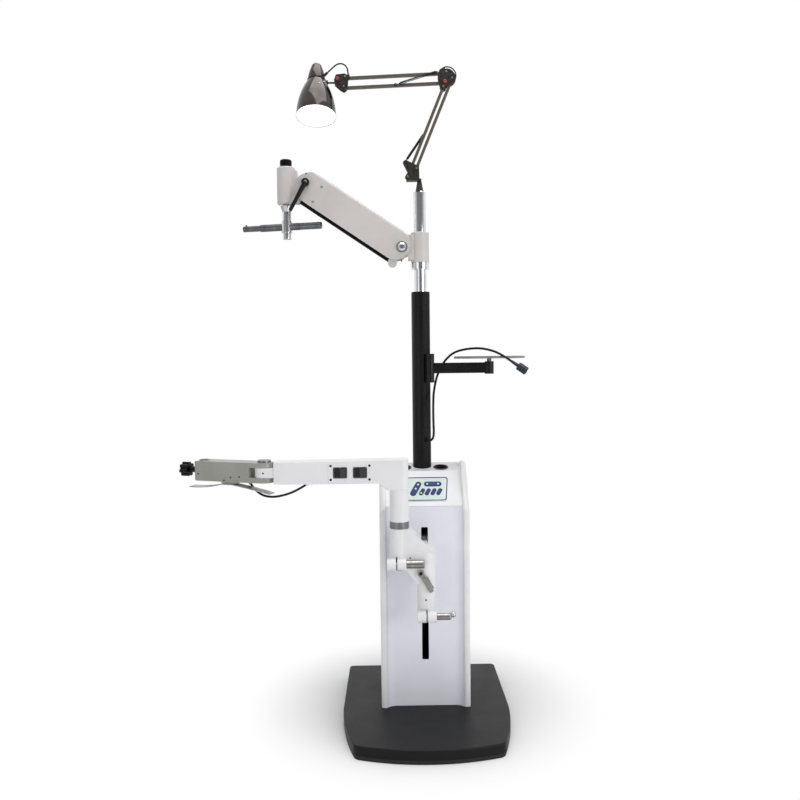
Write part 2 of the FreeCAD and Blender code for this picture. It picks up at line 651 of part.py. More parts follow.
def make_rear():
    inner = s.cabinet_half - s.pillar_thick
    back = s.cabinet_back
    low = s.base_height
    sheet_block = box("rear_sheet", -inner, inner, back - s.sheet_thick, back, low,
                      SHOULDER - s.sheet_thick / cosine(SLOPE_ANGLE) - s.seam_gap)
    hole = box("rear_hole", -s.inlet_half_width - s.inlet_fit, s.inlet_half_width + s.inlet_fit,
               back - s.sheet_thick - s.overrun, back + s.overrun,
               s.inlet_height - s.inlet_half_height - s.inlet_fit,
               s.inlet_height + s.inlet_half_height + s.inlet_fit)
    node("rear_cover", cut("rear_cut", sheet_block, hole))
    shell = box("inlet_shell", -s.inlet_half_width, s.inlet_half_width, back - s.inlet_depth,
                back + s.inlet_flange_thick, s.inlet_height - s.inlet_half_height,
                s.inlet_height + s.inlet_half_height)
    flange = box("inlet_flange", -s.inlet_half_width - s.inlet_flange, s.inlet_half_width + s.inlet_flange,
                 back, back + s.inlet_flange_thick, s.inlet_height - s.inlet_half_height - s.inlet_flange,
                 s.inlet_height + s.inlet_half_height + s.inlet_flange)
    wall = s.well_wall
    cavity = box("inlet_cavity", -s.inlet_half_width + wall, s.inlet_half_width - wall,
                 back - s.inlet_depth + 2 * wall, back + s.inlet_flange_thick + s.overrun,
                 s.inlet_height - s.inlet_half_height + wall, s.inlet_height + s.inlet_half_height - wall)
    node("mains_inlet", cut("inlet_cut", fuse("inlet_outer", shell, flange), cavity))


make_rear()

# Keypad, drawn flat with its foot at the origin and then laid on the sloped face


def pill(name, length, width, low, high, x, y, turn):
    """A flat key with round ends, centred at x, y and turned in the keypad's plane."""
    half = (length - width) / 2
    end = width / 2
    middle = box(name + "_middle", -half, half, -end, end, 0, high - low)
    ends = [rod(name + label, end, high - low, side * half, 0, 0)
            for side, label in ((-1, "_left"), (1, "_right"))]
    return move(fuse(name, middle, *ends), x, y, low, Z_AXIS, turn)


PAD_HEIGHT = s.pad_share * SLOPE_LENGTH
KEYS = [("key_double", s.big_key_length, s.big_key_width, s.big_key_x, s.big_key_share * PAD_HEIGHT,
         s.big_key_turn),
        ("key_wide", s.wide_key_length, s.wide_key_width, s.wide_key_x, s.wide_key_share * PAD_HEIGHT, 0)]
for index in range(4):
    KEYS.append(("key_small_%d" % (index + 1), s.small_key_length, s.small_key_width,
                 s.small_key_x + index * s.small_key_pitch, s.small_key_share * PAD_HEIGHT,
                 s.small_key_turn))


def make_keypad():
    foot = s.pad_low_share * SLOPE_LENGTH
    body = new_body("keypad_body")
    corners = [(s.pad_half, PAD_HEIGHT), (-s.pad_half, PAD_HEIGHT), (-s.pad_half, 0),
               (s.pad_half - s.pad_skew, 0)]
    sketch = outline(body, "keypad_plan", "XY_Plane", corners)
    last = pad(body, "keypad_pad", sketch, s.pad_thick)
    soften(body, "keypad_corners", last, s.pad_round,
           lambda p: any(near(p.x, x) and near(p.y, y) for x, y in corners))
    openings = [pill("%s_hole" % name, length + 2 * s.key_gap, width + 2 * s.key_gap, -s.overrun,
                     s.pad_thick + s.overrun, x, y, turn) for name, length, width, x, y, turn in KEYS]
    flat = cut("keypad_flat", body, *openings)
    slope = FreeCAD.Rotation(X_AXIS, float(SLOPE_ANGLE))
    base = point(0, -s.panel_front, s.seam_height + s.seam_gap) + slope.multVec(point(0, foot, 0))
    flat.Placement = FreeCAD.Placement(base, slope)
    node("keypad_plate", flat)
    for name, length, width, x, y, turn in KEYS:
        key = pill(name + "_body", length, width, s.key_bed + s.key_lift, s.pad_thick + s.key_lift, x, y,
                   turn)
        key.Placement = FreeCAD.Placement(base, slope).multiply(key.Placement)
        for path in ("x", "y", "z"):
            key.setExpression("Placement.Base." + path, None)
        key.setExpression("Placement.Rotation.Angle", None)
        node(name, key)


make_keypad()

# Welded guide frame inside the cabinet: bottom plate, two rods, top plate and the mast's socket


def make_guide_frame():
    low = s.base_height
    thick = s.frame_plate_thick
    top = s.seam_height - s.frame_top_drop
    bottom_plate = box("frame_bottom", -s.frame_half, s.frame_half, -s.frame_front, s.frame_back, low,
                       low + thick)
    top_plate = box("frame_top", -s.frame_half, s.frame_half, -s.frame_front, s.frame_back, top,
                    top + thick)
    socket = rod("frame_socket", s.mast_radius + s.socket_wall, s.socket_height, 0, 0, low + thick)
    rods = [rod("frame_rod" + label, s.rod_radius, top - low - thick, side * s.rod_half_gap, -s.rod_reach,
                low + thick) for side, label in ((-1, "_left"), (1, "_right"))]
    bore = rod("frame_bore", s.mast_radius + s.stand_off, top - low + s.overrun, 0, 0, low + thick)
    whole = fuse("frame_whole", bottom_plate, top_plate, socket, *rods)
    node("guide_frame", cut("frame_cut", whole, bore))


make_guide_frame()

# Mast with its flat face, the gland of the lead and the tray's hinge bracket

OUT_X = cosine(s.flat_turn)
OUT_Y = -sine(s.flat_turn)


def beside_mast(distance, across=0):
    """A place beside the mast: so far out along the flat's normal, so far along the flat."""
    return (distance * OUT_X - across * OUT_Y, distance * OUT_Y + across * OUT_X)


def flat_block(name, near_side, far_side, half, low, high):
    """A block square to the mast's flat face."""
    item = doc.addObject("Part::Box", name)
    set_size(item, "Length", far_side - near_side)
    set_size(item, "Width", 2 * half)
    set_size(item, "Height", high - low)
    x, y = beside_mast(near_side, -half)
    return move(item, x, y, low, Z_AXIS, -s.flat_turn)


def make_mast():
    low = s.base_height + s.frame_plate_thick
    wide = s.mast_bore
    tight = s.pole_radius + s.pole_clear
    step = s.mast_top - s.mast_bush_depth
    points = [(wide, low), (s.mast_radius, low), (s.mast_radius, s.mast_top), (tight, s.mast_top),
              (tight, step), (wide, step)]
    tube = turned("mast_body", points, [(s.mast_edge_round, s.mast_radius, s.mast_top)])
    flat = flat_block("mast_flat", s.flat_distance, s.mast_radius + s.overrun, s.mast_radius, low,
                      s.mast_top)
    x, y = beside_mast(s.flat_distance)
    grommet = rod("mast_grommet", s.grommet_radius, s.grommet_length, 0, 0, 0)
    place_along(grommet, (x, y, s.lead_height))
    node("mast_tube", fuse("mast_with_grommet", cut("mast_cut", tube, flat), grommet))


def place_along(item, place):
    """Turns an upright piece so that it points out of the mast's flat face."""
    x, y, z = place
    out = FreeCAD.Rotation(Z_AXIS, -float(s.flat_turn)).multiply(FreeCAD.Rotation(Y_AXIS, QUARTER_TURN))
    item.Placement = FreeCAD.Placement(point(x, y, z), out)
    for path, value in (("x", x), ("y", y), ("z", z)):
        bind(item, "Placement.Base." + path, value)
    return item


make_mast()

HINGE_X, HINGE_Y = beside_mast(s.hinge_distance)


def make_tray():
    low, high = s.hinge_low, s.hinge_high
    gap_low = s.tray_arm_low - s.tray_gap
    gap_high = s.tray_arm_high + s.tray_gap
    post = rod("hinge_post", s.hinge_radius, high - low, HINGE_X, HINGE_Y, low)
    web = flat_block("hinge_web", s.flat_distance, s.hinge_distance, s.hinge_web_half, low, high)
    gap = rod("hinge_gap", s.hinge_radius + 2 * s.tray_gap, gap_high - gap_low, HINGE_X, HINGE_Y, gap_low)
    pin = rod("hinge_pin", s.hinge_pin_radius, high - low, HINGE_X, HINGE_Y, low)
    bracket = cut("hinge_cut", fuse("hinge_solid", post, web), gap)
    node("tray_bracket", fuse("hinge_bracket", bracket, pin))
    end_x = HINGE_X + s.tray_arm_length
    eye = rod("tray_eye", s.hinge_radius, s.tray_arm_high - s.tray_arm_low, HINGE_X, HINGE_Y,
              s.tray_arm_low)
    bar = box("tray_bar", HINGE_X, end_x, HINGE_Y - s.tray_arm_side, HINGE_Y + s.tray_arm_side,
              s.tray_arm_low, s.tray_arm_high)
    boss_low = s.tray_arm_low - s.tray_boss_extra
    boss_high = s.tray_arm_high + s.tray_boss_extra
    boss = rod("tray_boss", s.tray_boss_radius, boss_high - boss_low, end_x, HINGE_Y, boss_low)
    eye_hole = rod("tray_eye_hole", s.hinge_pin_radius + s.pin_clear, s.tray_arm_high - s.tray_arm_low
                   + 2 * s.overrun, HINGE_X, HINGE_Y, s.tray_arm_low - s.overrun)
    socket = rod("tray_socket", s.tray_pin_radius + s.pin_clear, s.tray_socket_depth + s.overrun,
                 end_x, HINGE_Y, boss_high - s.tray_socket_depth)
    node("tray_arm", cut("tray_arm_cut", fuse("tray_arm_solid", eye, bar, boss), eye_hole, socket))
    foot = boss_high - s.tray_socket_depth + s.tray_gap
    wall = s.tray_rim_wall
    points = [(0, foot), (s.tray_pin_radius, foot), (s.tray_pin_radius, s.tray_low),
              (s.tray_radius, s.tray_low), (s.tray_radius, s.tray_low + s.tray_rim),
              (s.tray_radius - wall, s.tray_low + s.tray_rim),
              (s.tray_radius - wall, s.tray_low + s.tray_thick), (0, s.tray_low + s.tray_thick)]
    plate = turned("tray_plate_body", points, [(s.tray_edge_round, s.tray_radius, s.tray_low)])
    node("tray_plate", move(plate, end_x, HINGE_Y, 0))


make_tray()

# Carriage on the guide rods, with its neck through the slot and the upright spindle


def make_carriage():
    top = s.lower_barrel_high + s.stand_off
    lug_top = top + s.lug_thick
    neck_front = s.swing_reach - s.barrel_radius - s.neck_gap
    block = box("carriage_block", -s.block_half, s.block_half, -s.block_front, -s.block_back, s.block_low,
                s.block_high)
    neck = box("carriage_neck", -s.neck_half, s.neck_half, -neck_front, -s.block_front, s.neck_low, lug_top)
    lug = box("carriage_lug", -s.neck_half, s.neck_half, -s.swing_reach, -neck_front, top, lug_top)
    spindle = rod("carriage_spindle", s.spindle_radius, lug_top - s.lower_clamp_low - s.spindle_short,
                  0, -s.swing_reach, s.lower_clamp_low + s.spindle_short)
    holes = [rod("carriage_hole" + label, s.rod_radius + s.rod_clear, s.block_high - s.block_low
                 + 2 * s.overrun, side * s.rod_half_gap, -s.rod_reach, s.block_low - s.overrun)
             for side, label in ((-1, "_left"), (1, "_right"))]
    whole = fuse("carriage_solid", block, neck, lug, spindle)
    node("carriage", cut("carriage_cut", whole, *holes))


make_carriage()

# Swing bracket: two upright barrels, the slanted web and a split clamp at the foot of each

COLUMN_X = -s.barrel_offset
CLAMP_Y = -s.swing_reach - s.clamp_front
LOWER_CLAMP_Z = (s.lower_clamp_low + s.lower_barrel_low) / 2
UPPER_CLAMP_Z = (s.upper_barrel_low + s.upper_clamp_high) / 2
UPPER_CLAMP_X = COLUMN_X - s.upper_clamp_shift


def make_bracket():
    axis_y = -s.swing_reach
    lower = rod("lower_barrel", s.barrel_radius, s.lower_barrel_high - s.lower_clamp_low, 0, axis_y,
                s.lower_clamp_low)
    upper = rod("upper_barrel", s.column_radius, s.upper_barrel_high - s.upper_barrel_low, COLUMN_X, axis_y,
                s.upper_barrel_low)
    web = plate_on_xz("web_body", [(COLUMN_X, s.upper_barrel_high),
                                   (-s.web_top_left, s.upper_barrel_high),
                                   (s.barrel_radius * s.web_share, s.lower_barrel_high),
                                   (0, s.lower_barrel_high), (0, s.web_step_low),
                                   (-s.barrel_radius, s.web_step_low),
                                   (-s.web_bottom_left, s.upper_barrel_low),
                                   (COLUMN_X, s.upper_barrel_low)], axis_y - s.web_front,
                      axis_y + s.web_half)
    relief = box("web_relief", -s.relief_left, s.barrel_radius, axis_y - s.relief_front,
                 axis_y + s.web_half + s.overrun, s.lower_barrel_high, s.upper_barrel_high)
    lower_clamp = rod("lower_clamp", s.clamp_radius, 2 * s.clamp_half, -s.clamp_half, CLAMP_Y,
                      LOWER_CLAMP_Z, "x")
    upper_clamp = rod("upper_clamp", s.clamp_radius, 2 * s.clamp_half, UPPER_CLAMP_X - s.clamp_half,
                      CLAMP_Y, UPPER_CLAMP_Z, "x")
    whole = fuse("bracket_solid", lower, upper, web, lower_clamp, upper_clamp)
    lower_bore = rod("lower_bore", s.spindle_radius + s.swing_fit, s.lower_barrel_high - s.lower_clamp_low
                     + 2 * s.overrun, 0, axis_y, s.lower_clamp_low - s.overrun)
    upper_bore = rod("upper_bore", s.arm_spindle_radius + s.swing_fit,
                     s.upper_barrel_high - s.upper_barrel_low + 2 * s.overrun, COLUMN_X, axis_y,
                     s.upper_barrel_low - s.overrun)
    reach = s.clamp_front + s.clamp_radius + s.overrun
    gaps = [box("clamp_gap_" + label, x - s.clamp_gap_half, x + s.clamp_gap_half, axis_y - reach, axis_y,
                low - s.overrun, high)
            for label, x, low, high in (("lower", 0, s.lower_clamp_low, s.lower_barrel_low),
                                        ("upper", UPPER_CLAMP_X, s.upper_barrel_low, s.upper_clamp_high))]
    stud = s.handle_stud_radius + s.pin_clear
    holes = [rod("stud_hole_lower", stud, s.handle_stud_length + s.overrun, s.clamp_half + s.overrun,
                 CLAMP_Y, LOWER_CLAMP_Z, "-x"), rod("stud_hole_upper", stud, s.handle_stud_length
                                                    + s.overrun, UPPER_CLAMP_X + s.clamp_half + s.overrun,
                                                    CLAMP_Y, UPPER_CLAMP_Z, "-x"),
             rod("lever_hole", s.lever_stud_radius + s.pin_clear, s.barrel_radius - s.relief_front
                 + s.overrun, -s.lever_x, axis_y - s.barrel_radius - s.overrun, s.lever_z, "y")]
    node("swing_bracket", cut("bracket_cut", whole, lower_bore, upper_bore, relief, *gaps, *holes))


make_bracket()


def make_handle(name, radius, length, x, z, ball):
    """A round steel handle on its stud, pointing along X out of a clamp."""
    gap = s.handle_gap
    points = [(0, -s.handle_stud_length + gap), (s.handle_stud_radius, -s.handle_stud_length + gap),
              (s.handle_stud_radius, gap), (radius, gap), (radius, length), (0, length)]
    body = turned(name + "_body", points, [(s.handle_round, radius, length)])
    piece = body
    if ball:
        sphere = doc.addObject("Part::Sphere", name + "_ball")
        set_size(sphere, "Radius", s.handle_ball_radius)
        move(sphere, -s.handle_ball_rise, 0, length + s.handle_ball_radius / 2)
        piece = fuse(name + "_with_ball", body, sphere)
    node(name, move(piece, x + s.clamp_half, CLAMP_Y, z, Y_AXIS, QUARTER_TURN))


make_handle("lock_handle_lower", s.handle_radius, s.handle_length, 0, LOWER_CLAMP_Z, True)
make_handle("lock_handle_upper", s.upper_handle_radius, s.upper_handle_length, UPPER_CLAMP_X,
            UPPER_CLAMP_Z, False)


def bar(name, x, z, length, turn, half, y0, y1):
    """A straight bar in the upright plane from a point, at an angle up from the X axis."""
    item = doc.addObject("Part::Box", name)
    set_size(item, "Length", length)
    set_size(item, "Width", y1 - y0)
    set_size(item, "Height", 2 * half)
    return move(item, x + half * sine(turn), y0, z - half * cosine(turn), Y_AXIS, -turn)


def disc(name, radius, x, z, y0, y1):
    """A round piece whose axis runs along Y."""
    return rod(name, radius, y1 - y0, x, y0, z, "y")


def make_height_lever():
    face = -s.swing_reach - s.barrel_radius - s.stand_off
    front = face - s.lever_thick
    turn = s.lever_turn - QUARTER_TURN
    hub = disc("lever_hub", s.lever_hub_radius, -s.lever_x, s.lever_z, front, face)
    arm = bar("lever_arm", -s.lever_x, s.lever_z, s.lever_length, turn, s.lever_width / 2, front, face)
    stud = disc("lever_stud", s.lever_stud_radius, -s.lever_x, s.lever_z, face,
                -s.swing_reach - s.relief_front)
    blade = bar("lever_blade", -s.lever_x + s.blade_start * cosine(turn) - s.blade_shift * sine(turn),
                s.lever_z + s.blade_start * sine(turn) + s.blade_shift * cosine(turn),
                s.blade_length, turn, s.blade_width / 2, front - s.blade_thick, front)
    node("height_lever", fuse("lever_solid", hub, arm, stud, blade))


make_height_lever()

# Instrument arm with its column, spindle and switches


def make_arm_spindle():
    low = s.upper_barrel_low - s.plug_drop
    collar_low = s.upper_barrel_high + s.stand_off
    points = [(0, low), (s.arm_spindle_radius, low), (s.arm_spindle_radius, collar_low),
              (s.collar_radius, collar_low), (s.collar_radius, s.collar_high),
              (s.arm_spindle_radius, s.collar_high),
              (s.arm_spindle_radius, s.collar_high + s.column_bore_depth - s.stand_off),
              (0, s.collar_high + s.column_bore_depth - s.stand_off)]
    node("arm_spindle", move(turned("arm_spindle_body", points), COLUMN_X, -s.swing_reach, 0))


make_arm_spindle()

ELBOW_X = COLUMN_X - s.elbow_reach
ARM_FRONT = -s.swing_reach - s.arm_half
SWITCH_X = COLUMN_X - s.plate_centre
SWITCH_Z = s.arm_left_low + s.plate_rise


def gland(name, radius, length, end, beyond):
    """A short tube of a housing whose face meets a cord's end square on; it runs back away from the cord."""
    item = doc.addObject("Part::Cylinder", name)
    set_size(item, "Radius", radius)
    set_size(item, "Height", length)
    start, inward = point(*end), point(*end) - point(*beyond)
    item.Placement = FreeCAD.Placement(start, FreeCAD.Rotation(Z_AXIS, inward))
    return item


ARM_CABLE = [(-340.4, -208, 723), (-366, -208, 707), (-400, -207, 694), (-437, -203, 687),
             (-468, -197, 692), (-490, -192, 709), (-500, -190, 724)]


def make_arm():
    left = COLUMN_X - s.arm_reach
    right = COLUMN_X + s.arm_end
    points = [(right, s.arm_right_high), (left, s.arm_left_high), (left, s.arm_left_low),
              (COLUMN_X - s.haunch_end, s.arm_right_low), (COLUMN_X - s.haunch_reach, s.haunch_low),
              (right, s.haunch_low)]
    body = new_body("arm_body")
    sketch = outline(body, "arm_side", "XZ_Plane", points)
    last = pad(body, "arm_pad", sketch, 2 * s.arm_half, both_ways=True)
    last = soften(body, "arm_end_round", last, s.arm_end_round, lambda p: near(p.x, right)
                  and near(abs(p.y), s.arm_half))
    last = soften(body, "arm_edges", last, s.arm_round,
                  lambda p: near(abs(p.y), s.arm_half) and not near(p.x, left)
                  and p.x < number_of(right - s.arm_end_round * HALF))
    move(body, 0, -s.swing_reach, 0)
    axis_y = -s.swing_reach
    column = rod("arm_column", s.column_radius, s.haunch_low - s.collar_high, COLUMN_X, axis_y,
                 s.collar_high)
    tongue = box("arm_tongue", ELBOW_X, left, axis_y - s.tongue_radius, axis_y + s.tongue_radius,
                 s.tongue_low, s.tongue_high)
    tip = rod("arm_tongue_tip", s.tongue_radius, s.tongue_high - s.tongue_low, ELBOW_X, axis_y,
              s.tongue_low)
    bore = rod("column_bore", s.arm_spindle_radius + s.pin_clear, s.column_bore_depth + s.overrun,
               COLUMN_X, axis_y, s.collar_high - s.overrun)
    pin_hole = rod("tongue_hole", s.elbow_pin_radius + s.pin_clear, s.tongue_high - s.tongue_low
                   + 2 * s.overrun, ELBOW_X, axis_y, s.tongue_low - s.overrun)
    wells = [box("switch_well" + label, SWITCH_X + side * s.rocker_half_gap - s.rocker_half_width
                 - s.rocker_fit, SWITCH_X + side * s.rocker_half_gap + s.rocker_half_width + s.rocker_fit,
                 ARM_FRONT - s.overrun, ARM_FRONT + s.rocker_well, SWITCH_Z
                 - s.rocker_half_height - s.rocker_fit, SWITCH_Z + s.rocker_half_height
                 + s.rocker_fit) for side, label in ((-1, "_left"), (1, "_right"))]
    outlet = gland("arm_gland", s.cable_gland_radius, s.cable_gland_length, ARM_CABLE[0], ARM_CABLE[1])
    whole = fuse("arm_solid", body, column, tongue, tip, outlet)
    node("instrument_arm", cut("arm_cut", whole, bore, pin_hole, *wells))


make_arm()


def make_switches():
    plate = box("switch_sheet", SWITCH_X - s.plate_half_length, SWITCH_X + s.plate_half_length,
                ARM_FRONT - s.plate_thick, ARM_FRONT, SWITCH_Z - s.plate_half_height,
                SWITCH_Z + s.plate_half_height)
    holes = [box("switch_hole" + label, SWITCH_X + side * s.rocker_half_gap - s.rocker_half_width
                 - s.rocker_fit, SWITCH_X + side * s.rocker_half_gap + s.rocker_half_width + s.rocker_fit,
                 ARM_FRONT - s.plate_thick - s.overrun, ARM_FRONT + s.overrun, SWITCH_Z
                 - s.rocker_half_height - s.rocker_fit, SWITCH_Z + s.rocker_half_height
                 + s.rocker_fit) for side, label in ((-1, "_left"), (1, "_right"))]
    pivot_y = ARM_FRONT - HALF * s.plate_thick
    low = SWITCH_Z - s.rocker_half_height - s.plate_thick
    tall = 2 * s.rocker_half_height + 2 * s.plate_thick
    pins = [rod("rocker_pin" + label, s.rocker_pin, tall, SWITCH_X + side * s.rocker_half_gap, pivot_y, low)
            for side, label in ((-1, "_left"), (1, "_right"))]
    node("switch_plate", fuse("switch_plate_solid", cut("switch_plate_cut", plate, *holes), *pins))
    for side, name in ((-1, "rocker_left"), (1, "rocker_right")):
        wide = s.rocker_half_width
        proud = s.rocker_proud
        points = [(wide, -proud), (wide, 0), (s.rocker_back_half, s.rocker_depth),
                  (-s.rocker_back_half, s.rocker_depth), (-wide, 0), (-wide, -proud),
                  (0, -proud + s.rocker_dip)]
        body = new_body(name + "_body")
        sketch = outline(body, name + "_plan", "XY_Plane", points)
        pad(body, name + "_pad", sketch, 2 * s.rocker_half_height)
        move(body, SWITCH_X + side * s.rocker_half_gap, ARM_FRONT - s.plate_thick,
             SWITCH_Z - s.rocker_half_height, Z_AXIS, -s.rocker_tilt)
        bore = rod(name + "_bore", s.rocker_pin + s.rocker_pin_clear, tall,
                   SWITCH_X + side * s.rocker_half_gap, pivot_y, low)
        node(name, cut(name + "_cut", body, bore))


make_switches()

# Second arm, drawn along -X from the elbow pin and then turned about it


def turn_at_elbow(item):
    return move(item, ELBOW_X, -s.swing_reach, 0, Z_AXIS, -s.second_turn)


def make_second_arm():
    half = s.second_half
    low, high = s.second_low, s.second_high
    body = new_body("second_arm_body")
    sketch = outline(body, "second_arm_side", "XZ_Plane",
                     [(0, low), (0, high), (-s.second_length, high), (-s.second_length, low)])
    last = pad(body, "second_arm_pad", sketch, 2 * half, both_ways=True)
    soften(body, "second_arm_corners", last, s.second_round, lambda p: near(p.x, -s.second_length))
    end = rod("second_arm_end", half, high - low, 0, 0, low)
    bush = rod("post_bush", s.post_bore + s.bush_wall, s.bush_proud, -s.post_reach, 0, high)
    slot = box("second_arm_slot", -s.slot_reach, half + s.overrun, -half - s.overrun, half + s.overrun,
               s.tongue_low - s.ear_gap, s.tongue_high + s.ear_gap)
    pin_hole = rod("second_pin_hole", s.elbow_pin_radius, high - low + 2 * s.overrun, 0, 0, low - s.overrun)
    bore = rod("post_hole", s.post_bore, high - low + s.bush_proud + 2 * s.overrun, -s.post_reach, 0,
               low - s.overrun)
    stud_hole = rod("knob_hole", s.knob_stud_radius + s.pin_clear, s.second_length - s.post_reach
                    + s.overrun, -s.second_length - s.overrun, 0, (low + high) / 2, "x")
    whole = fuse("second_arm_solid", body, end, bush)
    arm = turn_at_elbow(cut("second_arm_cut", whole, slot, pin_hole, bore, stud_hole))
    inlet = gland("second_arm_gland", s.cable_gland_radius, s.cable_gland_length, ARM_CABLE[-1],
                  ARM_CABLE[-2])
    node("second_arm", fuse("second_arm_with_gland", arm, inlet))
    points = [(0, low), (s.elbow_pin_radius, low), (s.elbow_pin_radius, high), (s.cap_radius, high),
              (s.cap_radius, high + s.cap_thick), (0, high + s.cap_thick)]
    pin = turned("elbow_pin_body", points, [(s.cap_round, s.cap_radius, high + s.cap_thick)])
    node("elbow_pin", turn_at_elbow(pin))


make_second_arm()


KNOB_LOBES = 7


def make_star_knob():
    """Clamping knob with rounded lobes, its neck and its stud, turned about the second arm's length."""
    centre = (s.second_low + s.second_high) / 2
    start = -s.second_length
    face = start - s.knob_stud
    stud = rod("knob_stud", s.knob_stud_radius, s.second_length - s.post_reach - s.post_bore - s.stand_off
               + s.knob_stud + s.knob_neck, face - s.knob_neck, 0, centre, "x")
    neck = rod("knob_neck", s.knob_neck_radius, s.knob_neck, face - s.knob_neck, 0, centre, "x")
    back = face - s.knob_neck - s.knob_thick
    core = rod("knob_core", s.knob_core_radius, s.knob_thick, back, 0, centre, "x")
    ring = s.knob_radius - s.knob_lobe_radius
    lobes = [rod("knob_lobe_%d" % index, s.knob_lobe_radius, s.knob_thick, back,
                 ring * sine(index * FULL_TURN / KNOB_LOBES),
                 centre + ring * cosine(index * FULL_TURN / KNOB_LOBES), "x")
             for index in range(KNOB_LOBES)]
    node("star_knob", turn_at_elbow(fuse("star_knob_solid", stud, neck, core, *lobes)))


make_star_knob()


def make_saddle():
    """Bent sheet under the second arm on its distance block."""
    top = s.second_low - s.saddle_block_height
    middle = -s.saddle_centre
    flat = s.saddle_flat
    left = middle - s.saddle_left
    right = middle + s.saddle_right
    thick = s.saddle_thick
    points = [(middle + flat, top), (middle - flat, top), (left, top - s.saddle_left_drop),
              (left, top - s.saddle_left_drop - thick), (middle - flat, top - thick),
              (middle + flat, top - thick), (right, top - s.saddle_right_drop - thick),
              (right, top - s.saddle_right_drop)]
    left_bow, right_bow = s.saddle_bow, s.saddle_right_bow
    sheet_piece = plate_on_xz("saddle_body", points, -s.saddle_front, -s.saddle_rear,
                              {1: -left_bow, 3: left_bow, 5: -right_bow, 7: right_bow})
    block = box("saddle_block", middle - s.saddle_block, middle + s.saddle_block,
                -s.second_half * s.block_share, -s.saddle_rear, top, s.second_low)
    node("saddle_plate", turn_at_elbow(fuse("saddle_solid", sheet_piece, block)))


make_saddle()

# Pole with the collar that carries the lift arm's hub


def make_pole():
    radius = s.pole_radius
    bearing = s.hub_low - s.stand_off
    socket = s.spigot_pin + s.pole_clear
    points = [(0, s.pole_low), (radius, s.pole_low), (radius, s.pole_collar_low),
              (s.pole_collar_radius, s.pole_collar_low), (s.pole_collar_radius, bearing),
              (radius, bearing), (radius, s.pole_top - s.pole_chamfer),
              (radius - s.pole_chamfer, s.pole_top), (socket, s.pole_top),
              (socket, s.pole_top - s.pole_socket_depth), (0, s.pole_top - s.pole_socket_depth)]
    node("pole", turned("pole_body", points))


make_pole()

# Lift arm: hub on the pole, covered arm, parallel link and the two pivots

HUB_X = -s.lift_pivot_x
HUB_Z = s.lift_pivot_z
HEAD_PIVOT_X = HUB_X - s.lift_length * cosine(s.lift_turn)
HEAD_PIVOT_Z = HUB_Z + s.lift_length * sine(s.lift_turn)
LINK_X = -s.link_offset * sine(s.lift_turn)
LINK_Z = -s.link_offset * cosine(s.lift_turn)


def knuckle(name, x, z):
    """Tongue of a lift pivot with its boss and the lobe that carries the link's pin."""
    half = s.tongue_half
    eye = disc(name + "_eye", s.tongue_disc, x, z, -half, half)
    boss = disc(name + "_boss", s.boss_radius, x, z, -s.boss_half, s.boss_half)
    lobe = disc(name + "_lobe", s.lobe_radius, x + LINK_X, z + LINK_Z, -half, half)
    web = bar(name + "_web", x, z, s.link_offset, -(QUARTER_TURN + s.lift_turn), s.lobe_web_half, -half,
              half)
    return [eye, boss, lobe, web]


def finish_knuckle(name, solid_piece, x, z, *bores):
    """Cuts the pivot hole and the link's slot, then puts the link's pin across the slot."""
    hole = disc(name + "_hole", s.bolt_radius + s.pin_clear, x, z, -s.boss_half - s.overrun,
                s.boss_half + s.overrun)
    slot = disc(name + "_slot", s.link_slot_radius, x + LINK_X, z + LINK_Z, -s.link_slot_half,
                s.link_slot_half)
    pin = disc(name + "_pin", s.link_pin, x + LINK_X, z + LINK_Z, -s.tongue_half, s.tongue_half)
    return fuse(name + "_with_pin", cut(name + "_cut", solid_piece, hole, slot, *bores), pin)


def make_hub():
    points = [(s.pole_radius + s.hub_fit, s.hub_low), (s.hub_radius, s.hub_low), (s.hub_radius, s.hub_high),
              (s.pole_radius + s.hub_fit, s.hub_high)]
    barrel = turned("hub_barrel", points, [(s.hub_round, s.hub_radius, s.hub_low),
                                           (s.hub_round, s.hub_radius, s.hub_high)])
    neck = box("hub_neck", -s.hub_neck_end, 0, -s.tongue_half, s.tongue_half, HUB_Z - s.hub_neck_half,
               HUB_Z + s.hub_neck_half)
    bore = rod("hub_bore", s.pole_radius + s.hub_fit, s.hub_high - s.hub_low + 2 * s.overrun, 0, 0,
               s.hub_low - s.overrun)
    whole = fuse("hub_solid", barrel, neck, *knuckle("hub", HUB_X, HUB_Z))
    node("lift_hub", finish_knuckle("hub", whole, HUB_X, HUB_Z, bore))


make_hub()


def place_on_lift(item):
    return move(item, HUB_X, 0, HUB_Z, Y_AXIS, s.lift_turn)


def lift_block(name, x0, x1, half, z0, z1, round_top):
    """A block along the lift arm with rounded upper edges."""
    body = new_body(name)
    sketch = outline(body, name + "_side", "XZ_Plane", [(x0, z0), (x1, z0), (x1, z1), (x0, z1)])
    last = pad(body, name + "_pad", sketch, 2 * half, both_ways=True)
    soften(body, name + "_round", last, round_top, lambda p: near(abs(p.y), half) and near(p.z, z1))
    return body


